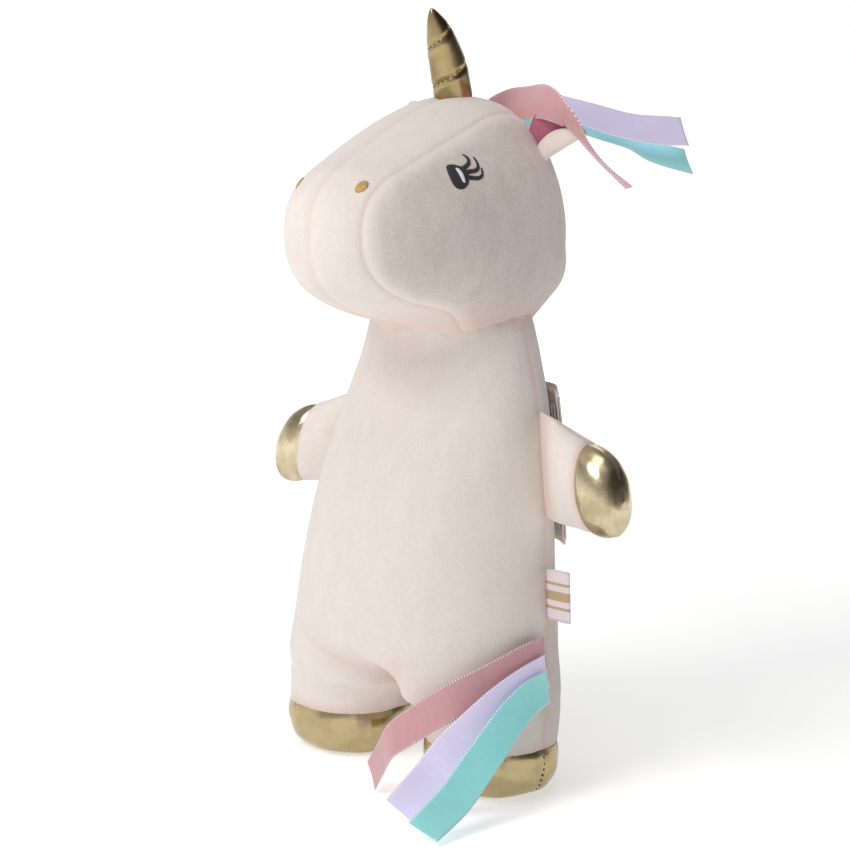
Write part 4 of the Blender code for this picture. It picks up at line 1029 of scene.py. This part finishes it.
def make_flap():
    t = np.linspace(-(1 - FLAP_EDGE["right"]), 1 - FLAP_EDGE["left"], 61)
    z, across = crossed(np.linspace(*FLAP_Z, 33), t)
    edge = np.minimum(z - FLAP_Z[0], FLAP_Z[1] - z)
    for word, lift in (("cover", FLAP_FABRIC * 1.5 + GAP), ("lining", FLAP_FABRIC * 0.5)):
        roll = 0.9 * dip(edge, 3.0) * (-1 if word == "cover" else 1)
        grid = back_surface(z, across, flap_lift(across) + lift + roll * 0.5)
        # painted warm shade along the stitched lines near the flap's long edges
        facts = {"fold": [0.5 * dip(edge - 4.5, 1.2)]}
        piece = fabric(f"flap_{word}", [grid], BLUSH, facts, outward=False)
        thicken(piece, FLAP_FABRIC - 0.1)
        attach(piece, "belt_flap")
        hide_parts(f"belt_flap_{word}")
    rows = []
    for height in (FLAP_Z[0] + 4.5, FLAP_Z[1] - 4.5):
        line = back_surface(np.full_like(t, height), t, flap_lift(t) + 2 * FLAP_FABRIC + GAP + 0.1)
        rows.append(along_line(line, 4.0))
    middles, along = (np.vstack(part) for part in zip(*rows))
    normals = unit(middles * (1, 1, 0) * (0.35, 1, 0))
    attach(stitches("flap_stitching", middles, along, normals, SEAM_THREAD, 2.2), "belt_flap")
    for name, lift, body in (("loop", GAP + PATCH / 2, "torso"),
                             ("hook", 1.5 * PATCH + 2 * GAP, "belt_flap")):
        z, across = crossed(np.linspace(*PATCH_Z, 21), np.linspace(*PATCH_T, 15))
        grid = back_surface(z, 1 - across, lift)
        piece = thicken(fabric(f"{name}_tape", [grid], TAPE, outward=False), PATCH - 0.1)
        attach(piece, body)
        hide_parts(f"{name}_patch")


# ---- studio ----
AIM = placed((-11.3, -11.3, 203.0))
AZIMUTH, ELEVATION, DISTANCE, LENS = 45.0, 9.5, 1.35, 36 * 2250 / 850


def aimed(name, data, azimuth, elevation, distance):
    """A camera or a lamp that looks at the toy's middle from a direction and a distance."""
    a, e = radians(azimuth), radians(elevation)
    away = Vector((sin(a) * cos(e), -cos(a) * cos(e), sin(e)))
    made = in_scene(name, data)
    made.location = Vector(AIM) + away * distance
    made.rotation_mode = "QUATERNION"
    made.rotation_quaternion = (-away).to_track_quat("-Z", "Y")
    return made


def make_camera():
    lens = bpy.data.cameras.new("camera")
    lens.lens, lens.sensor_width, lens.clip_start, lens.clip_end = LENS, 36.0, 0.01, 200
    bpy.context.scene.camera = aimed("camera", lens, AZIMUTH, ELEVATION, DISTANCE)


def soft_light(name, azimuth, elevation, distance, size, power, colour=(1, 1, 1)):
    lamp = bpy.data.lights.new(name, "AREA")
    lamp.shape, lamp.size, lamp.energy, lamp.color = "DISK", size, power, colour
    aimed(name, lamp, azimuth, elevation, distance)


def make_studio():
    mesh = bpy.data.meshes.new("floor")
    half, under = 60.0, -0.0004
    corners = [(x * half, y * half, under) for x, y in ((-1, -1), (1, -1), (1, 1), (-1, 1))]
    mesh.from_pydata(corners, [], [(0, 1, 2, 3)])
    paper = Finish("pale_floor", Roughness=0.9, Emission_Strength=1.0)
    grain = paper.noise(paper.place(), 40, 2.0)
    paper.to("Base Color", paper.blend(grain, rgb(0.80, 0.80, 0.80), rgb(0.84, 0.84, 0.84)))
    span = paper.node("ShaderNodeVectorMath", {"operation": "LENGTH"}, {0: paper.place()}, output=1)
    paper.to("Emission Color", paper.blend(span.between(0.35, 1.6), rgb(0.50, 0.50, 0.50), rgb(1, 1, 1)))
    mesh.materials.append(paper.material)
    floor = in_scene("floor", mesh)
    world = bpy.data.worlds.new("studio")
    bpy.context.scene.world = world
    sky = Finish("studio", owner=world, shader="Background", Color=rgb(1, 1, 1))
    x = sky.node("ShaderNodeSeparateXYZ", {}, {0: sky.node("ShaderNodeTexCoord", output="Generated")})
    y, up = (Wire(sky, x.socket.node.outputs[k]) for k in (1, 2))
    shaded = (x * 0.85 + y * 0.5).between(0.1, 0.8)
    sky.to("Strength", (1.0 - up.between(0.03, 0.42) * 0.70) * (1 - shaded * 0.85))
    soft_light("key", AZIMUTH - 50, 44, 1.7, 0.7, 11.6, (1.0, 0.98, 0.955))
    soft_light("top", AZIMUTH - 35, 76, 1.6, 1.0, 5.6)
    soft_light("rim", AZIMUTH + 165, 30, 1.8, 0.8, 2, (0.97, 0.985, 1.0))
    bpy.context.scene.view_settings.view_transform = "Standard"


# ---- assembly ----
make_camera()
make_studio()
make_torso()
make_head()
make_horn()
for side, mirror in SIDES:
    make_arm(side, mirror)
    make_ear(side, mirror)
make_ribbons(MANE, "mane", MANE_SATIN)
make_ribbons(TAIL, "tail", SATIN)
make_label()
make_flap()

bpy.context.view_layer.update()
